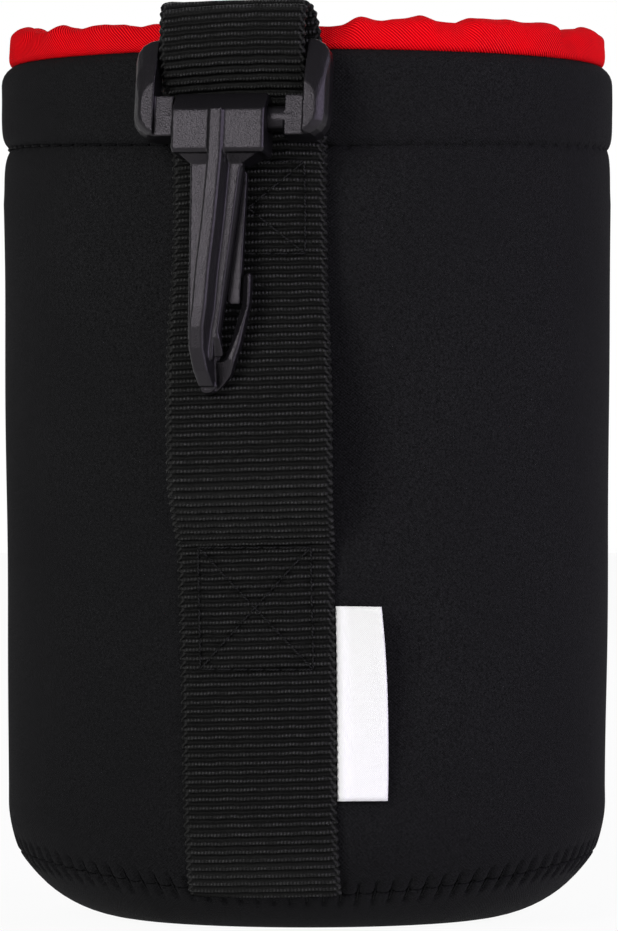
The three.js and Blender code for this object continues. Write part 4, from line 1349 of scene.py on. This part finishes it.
@dataclass
class LabelTab:
    """A folded white tab, bare, sewn in at the strap's right edge."""

    shape: Shape
    strap: BeltStrap
    cloth: bpy.types.Material
    foot: float = 20.2
    height: float = 28.7
    width: float = 7.35
    ply: float = 0.22
    opening: float = 0.34
    curl: float = 0.35
    curl_place: float = 0.12
    curl_reach: float = 0.1
    lift_top: float = 4.6
    lift_foot: float = 0.6
    rows: int = 40
    columns: int = 26

    def build(self) -> bpy.types.Object:
        """Builds the tab as one tape, out to the fold at its free edge and back."""
        a, b, gap = self.shape.half_width, self.shape.half_depth, self.shape.clearance
        levels = np.linspace(self.foot + self.height, self.foot, self.rows)
        spots = self.strap.pick(self.strap.length_at(levels), self.strap.stations)
        sheet = np.concatenate([np.linspace(0, 1, self.columns), np.linspace(1, 0, self.columns)[1:]])
        back = np.repeat([1, -1], (self.columns, self.columns - 1))
        gape = back * self.opening * np.sin(np.pi * sheet) ** 0.5 / 2
        root_curl = self.curl * np.exp(-(((sheet - self.curl_place) / self.curl_reach) ** 2)) * (sheet > 0)
        grid = []
        for level, x, width in zip(levels, spots[:, 0], spots[:, 3]):
            share = (self.foot + self.height - level) / self.height
            turn = math.asin(x / a)
            slope = math.cos(turn) / b / math.hypot(math.cos(turn) / b, math.sin(turn) / a)
            lift = self.lift_top + (self.lift_foot - self.lift_top) * share
            reach = math.sqrt(self.width**2 - lift**2)
            turns = np.arcsin((x + slope * (width / 2 + gap * 1.2) + reach * sheet) / a)
            out = gap + self.ply + lift * sheet**1.35 + root_curl + gape
            inset = self.shape.side_inset(level, self.shape.stitch_height) - out
            outer, inner = (self.shape.point(turns, inset - side * self.ply / 2, level) for side in (1, -1))
            grid.append(np.concatenate([outer, inner[::-1]]))
        piece = Skin("label_tab_tape", np.array(grid), closed=False, caps="zip", down=levels[::-1]).make()
        dress(piece, self.cloth, Slot.TAPE, Body.POUCH, "blank_label")
        return piece


# The mouldings


@dataclass(frozen=True)
class Flat:
    """A flat face of the hook that slopes away from its front: all that stands before it is cut off."""

    place: Triple
    facing: Triple
    along: Triple
    size: Triple

    def block(self, axes: Matrix) -> tuple[Triple, Matrix]:
        """The block that is cut off.

        Args:
            axes: Turns the hook's own millimetres (right, up, out) into the row's metres.

        Returns:
            Its size and its place, in metres.
        """
        facing, along = Vector(self.facing).normalized(), Vector(self.along)
        along = (along - facing * along.dot(facing)).normalized()
        turned = Matrix((along, facing.cross(along), facing)).transposed().to_4x4()
        middle = Vector(self.place) + facing * self.size[2] / 2
        return tuple(side * MM for side in self.size), axes @ Matrix.Translation(middle) @ turned


@dataclass
class Mouldings:
    """The frame, the hook and its tongue, with their edges rounded as the tool left them.

    The flats are the head's shoulder, the neck's two sides, the strip's right edge, the plate's foot, two on the
    nose and the hook's bottom.
    """

    plastic: bpy.types.Material
    edge: float = 0.3
    grain: float = 0.15
    rounds: int = 4
    edge_angle: float = 25.0
    hook_origin: Triple = (-12.1963, -49.3063, 120.2073)
    hook_right: Triple = (0.98128, -0.19259, 0.0)
    hook_up: Triple = (0.02547, 0.12978, 0.99122)
    hook_out: Triple = (-0.19090, -0.97266, 0.13226)
    flats: Sequence[Flat] = (
        Flat((0.0, 2.1, 2.67), (0.0, 0.733, 0.68), (1.0, 0.0, 0.0), (15.0, 4.6, 3.0)),
        Flat((-4.3, -6.15, 2.35), (0.0, -0.707, 0.707), (1.0, 0.0, 0.0), (5.7, 1.9, 2.0)),
        Flat((4.0, -6.15, 2.35), (0.0, -0.707, 0.707), (1.0, 0.0, 0.0), (5.6, 1.9, 2.0)),
        Flat((1.82, -19.6, 0.95), (0.93, -0.1, 0.34), (-0.111, -0.994, 0.0), (24.8, 2.0, 0.8)),
        Flat((0.75, -34.5, 0.45), (0.0, -0.5, 0.87), (1.0, 0.0, 0.0), (2.1, 4.6, 1.6)),
        Flat((3.75, -25.3, -1.0), (-0.57, 0.0, 0.82), (-0.13, -0.99, -0.09), (4.6, 1.7, 1.0)),
        Flat((2.3, -31.7, -1.0), (-0.53, 0.2, 0.82), (-0.36, -0.93, 0.0), (9.0, 1.9, 1.0)),
        Flat((1.7, -37.5, -1.2), (-0.2, -0.25, 0.95), (1.0, 0.0, 0.0), (4.6, 5.2, 1.2)),
    )

    def flat_cuts(self) -> bpy.types.NodeTree:
        """Nodes that cut the hook's flats."""
        group = bpy.data.node_groups.new("flat_cuts", "GeometryNodeTree")
        for way in ("INPUT", "OUTPUT"):
            group.interface.new_socket("Geometry", in_out=way, socket_type="NodeSocketGeometry")
        solid = add_node(group, "NodeGroupInput").outputs[0]
        joined = add_node(group, "GeometryNodeMergeByDistance", {"Geometry": solid, "Distance": 0.001 * MM})
        feeds, settings = {"Mesh 1": joined.outputs[0]}, {"operation": "DIFFERENCE", "solver": "EXACT"}
        cut = add_node(group, "GeometryNodeMeshBoolean", feeds, **settings)
        axes = Matrix((self.hook_right, self.hook_up, self.hook_out)).transposed().to_4x4()
        axes = Matrix.Translation(Vector(self.hook_origin) * MM) @ axes @ Matrix.Scale(MM, 4)
        for flat in self.flats:
            size, at = flat.block(axes)
            box = add_node(group, "GeometryNodeMeshCube", {"Size": size})
            turn = at.to_3x3().normalized().to_euler()
            place = {"Geometry": box.outputs[0], "Translation": at.to_translation(), "Rotation": turn}
            feed(group, cut, {"Mesh 2": add_node(group, "GeometryNodeTransform", place).outputs[0]})
        add_node(group, "NodeGroupOutput", {0: cut.outputs[0]})
        return group

    def build(self) -> None:
        """Dresses the three mouldings."""
        for name, edge in (("loop_frame", self.edge), ("hook_body", self.edge), ("gate_tongue", self.edge / 2)):
            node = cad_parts[name]
            node.data.materials.clear()
            node.data.materials.append(self.plastic)
            if name == "hook_body":
                node.modifiers.new("flats", "NODES").node_group = self.flat_cuts()
            limit = {"limit_method": "ANGLE", "angle_limit": math.radians(self.edge_angle)}
            bevel = {"width": edge * MM, "segments": 2, **limit}
            remesh = {"mode": "VOXEL", "voxel_size": self.grain * MM, "use_smooth_shade": True}
            for kind, settings in (
                ("BEVEL", bevel), ("REMESH", remesh), ("SMOOTH", {"factor": 0.5, "iterations": self.rounds})
            ):
                modifier = node.modifiers.new(kind.lower(), kind)
                for key, value in settings.items():
                    setattr(modifier, key, value)
            node.data.shade_smooth()
            LOG.info("%s: dressed", name)


# The studio


@dataclass(frozen=True)
class Lamp:
    """A soft box.

    Attributes:
        name: Its name.
        place: Where it stands, in metres.
        size: Its width and height, in metres.
        radiance: How bright its face is, where one is white.
        colour: Its colour.
    """

    name: str
    place: Triple
    size: tuple[float, float]
    radiance: float
    colour: str = "#ffffff"

    def build(self, target: Vector) -> None:
        """Sets it up, facing a target."""
        data = bpy.data.lights.new(self.name, "AREA")
        data.shape = "RECTANGLE"
        data.size, data.size_y = self.size
        data.energy = self.radiance * math.pi * data.size * data.size_y
        data.color = linear(self.colour)[:3]
        lamp = link(self.name, data)
        lamp.location = self.place
        lamp.rotation_euler = (target - Vector(self.place)).to_track_quat("-Z", "Y").to_euler()


@dataclass
class Studio:
    """A pale floor, a white backdrop, soft lamps, and the camera level with the middle of the pouch."""

    photo_height: int = 931
    focal_pixels: float = 5620.0
    camera_place: Triple = (0.31, -870.0, 69.6)
    sensor: float = 36.0
    wide: float = 5.0
    far: float = 3.6
    floor_seen: float = 0.94
    backdrop_seen: float = 1.0
    white: str = "#f4f4f4"
    roughness: float = 0.9
    specular: float = 0.1
    room: str = "#8f8f91"
    lamps: Sequence[Lamp] = (
        Lamp("key_box", (-0.425, -0.732, 0.345), (0.29, 0.37), 12.0),
        Lamp("right_box", (1.02, -0.42, 0.35), (0.8, 0.9), 4.0, "#ece2ff"),
        Lamp("front_fill", (0.3, -1.4, 0.25), (1.5, 0.9), 0.6),
        Lamp("back_box", (0.2, 1.2, 0.9), (0.8, 0.6), 1.6),
    )

    def camera(self) -> None:
        """Sets the camera level in front of the strap side."""
        data = bpy.data.cameras.new("camera")
        data.sensor_width = self.sensor
        data.lens = self.sensor * self.focal_pixels / self.photo_height
        data.clip_start, data.clip_end = 0.01, 50
        camera = link("camera", data)
        camera.location = Vector(self.camera_place) * MM
        camera.rotation_euler = (math.pi / 2, 0, 0)
        bpy.context.scene.camera = camera

    def panel(self, name: str, corners: Sequence[Triple], seen: float) -> None:
        """A flat staged panel that shows white and keeps the object's shadow.

        Args:
            name: Its name.
            corners: Its corners, in metres.
            seen: Share of plain white in what the camera and gloss see of it.
        """
        look = Shading(f"{name}_painted_matt_white")
        look.shade(self.white, self.roughness, self.specular)
        rays = add_node(look.tree, "ShaderNodeLightPath").outputs
        direct = look.calc("MAXIMUM", rays["Is Camera Ray"], rays["Is Glossy Ray"])
        share = look.calc("MULTIPLY", look.calc("MAXIMUM", direct, rays["Is Transmission Ray"]), seen)
        plain = add_node(look.tree, "ShaderNodeEmission", {"Color": (1, 1, 1, 1), "Strength": 1.0})
        feeds = {0: share, 1: look.shader.outputs[0], 2: plain.outputs[0]}
        mixed = add_node(look.tree, "ShaderNodeMixShader", feeds)
        feed(look.tree, look.tree.nodes["Material Output"], {"Surface": mixed.outputs[0]})
        mesh = bpy.data.meshes.new(name)
        mesh.from_pydata(corners, [], [tuple(range(len(corners)))])
        mesh.materials.append(look.material)
        link(name, mesh)

    def build(self) -> None:
        """Builds the stage, the light and the camera."""
        scene = bpy.context.scene
        scene.view_settings.view_transform = "Standard"
        wide, far = self.wide, self.far
        floor = [(-wide, -wide, 0), (wide, -wide, 0), (wide, wide, 0), (-wide, wide, 0)]
        self.panel("floor", floor, self.floor_seen)
        backdrop = [(-wide, far, 0), (wide, far, 0), (wide, far, wide), (-wide, far, wide)]
        self.panel("backdrop", backdrop, self.backdrop_seen)
        scene.world = bpy.data.worlds.new("room")
        scene.world.use_nodes = True
        tree = scene.world.node_tree
        feed(tree, tree.nodes["Background"], {0: linear(self.room), 1: 1.0})
        for lamp in self.lamps:
            lamp.build(Vector((0, 0, self.camera_place[2] * MM)))
        self.camera()


def main() -> None:
    """Builds the pouch's sub-assemblies in order, then the studio."""
    logging.basicConfig(level=logging.INFO, format="%(name)s %(message)s")
    shape = Shape()
    NeopreneBody(shape, NeopreneFinish().make(), ThreadFinish().make()).build()
    Collar(shape, NylonTwillFinish().make()).build()
    heavy = ThreadFinish("polyester_thread_bonded_heavy", "#262626")
    strap = BeltStrap(shape, WebbingFinish().make(), heavy.make())
    strap.build()
    LabelTab(shape, strap, TapeFinish().make()).build()
    Mouldings(AcetalFinish().make()).build()
    Studio().build()


if __name__ == "__main__":
    main()
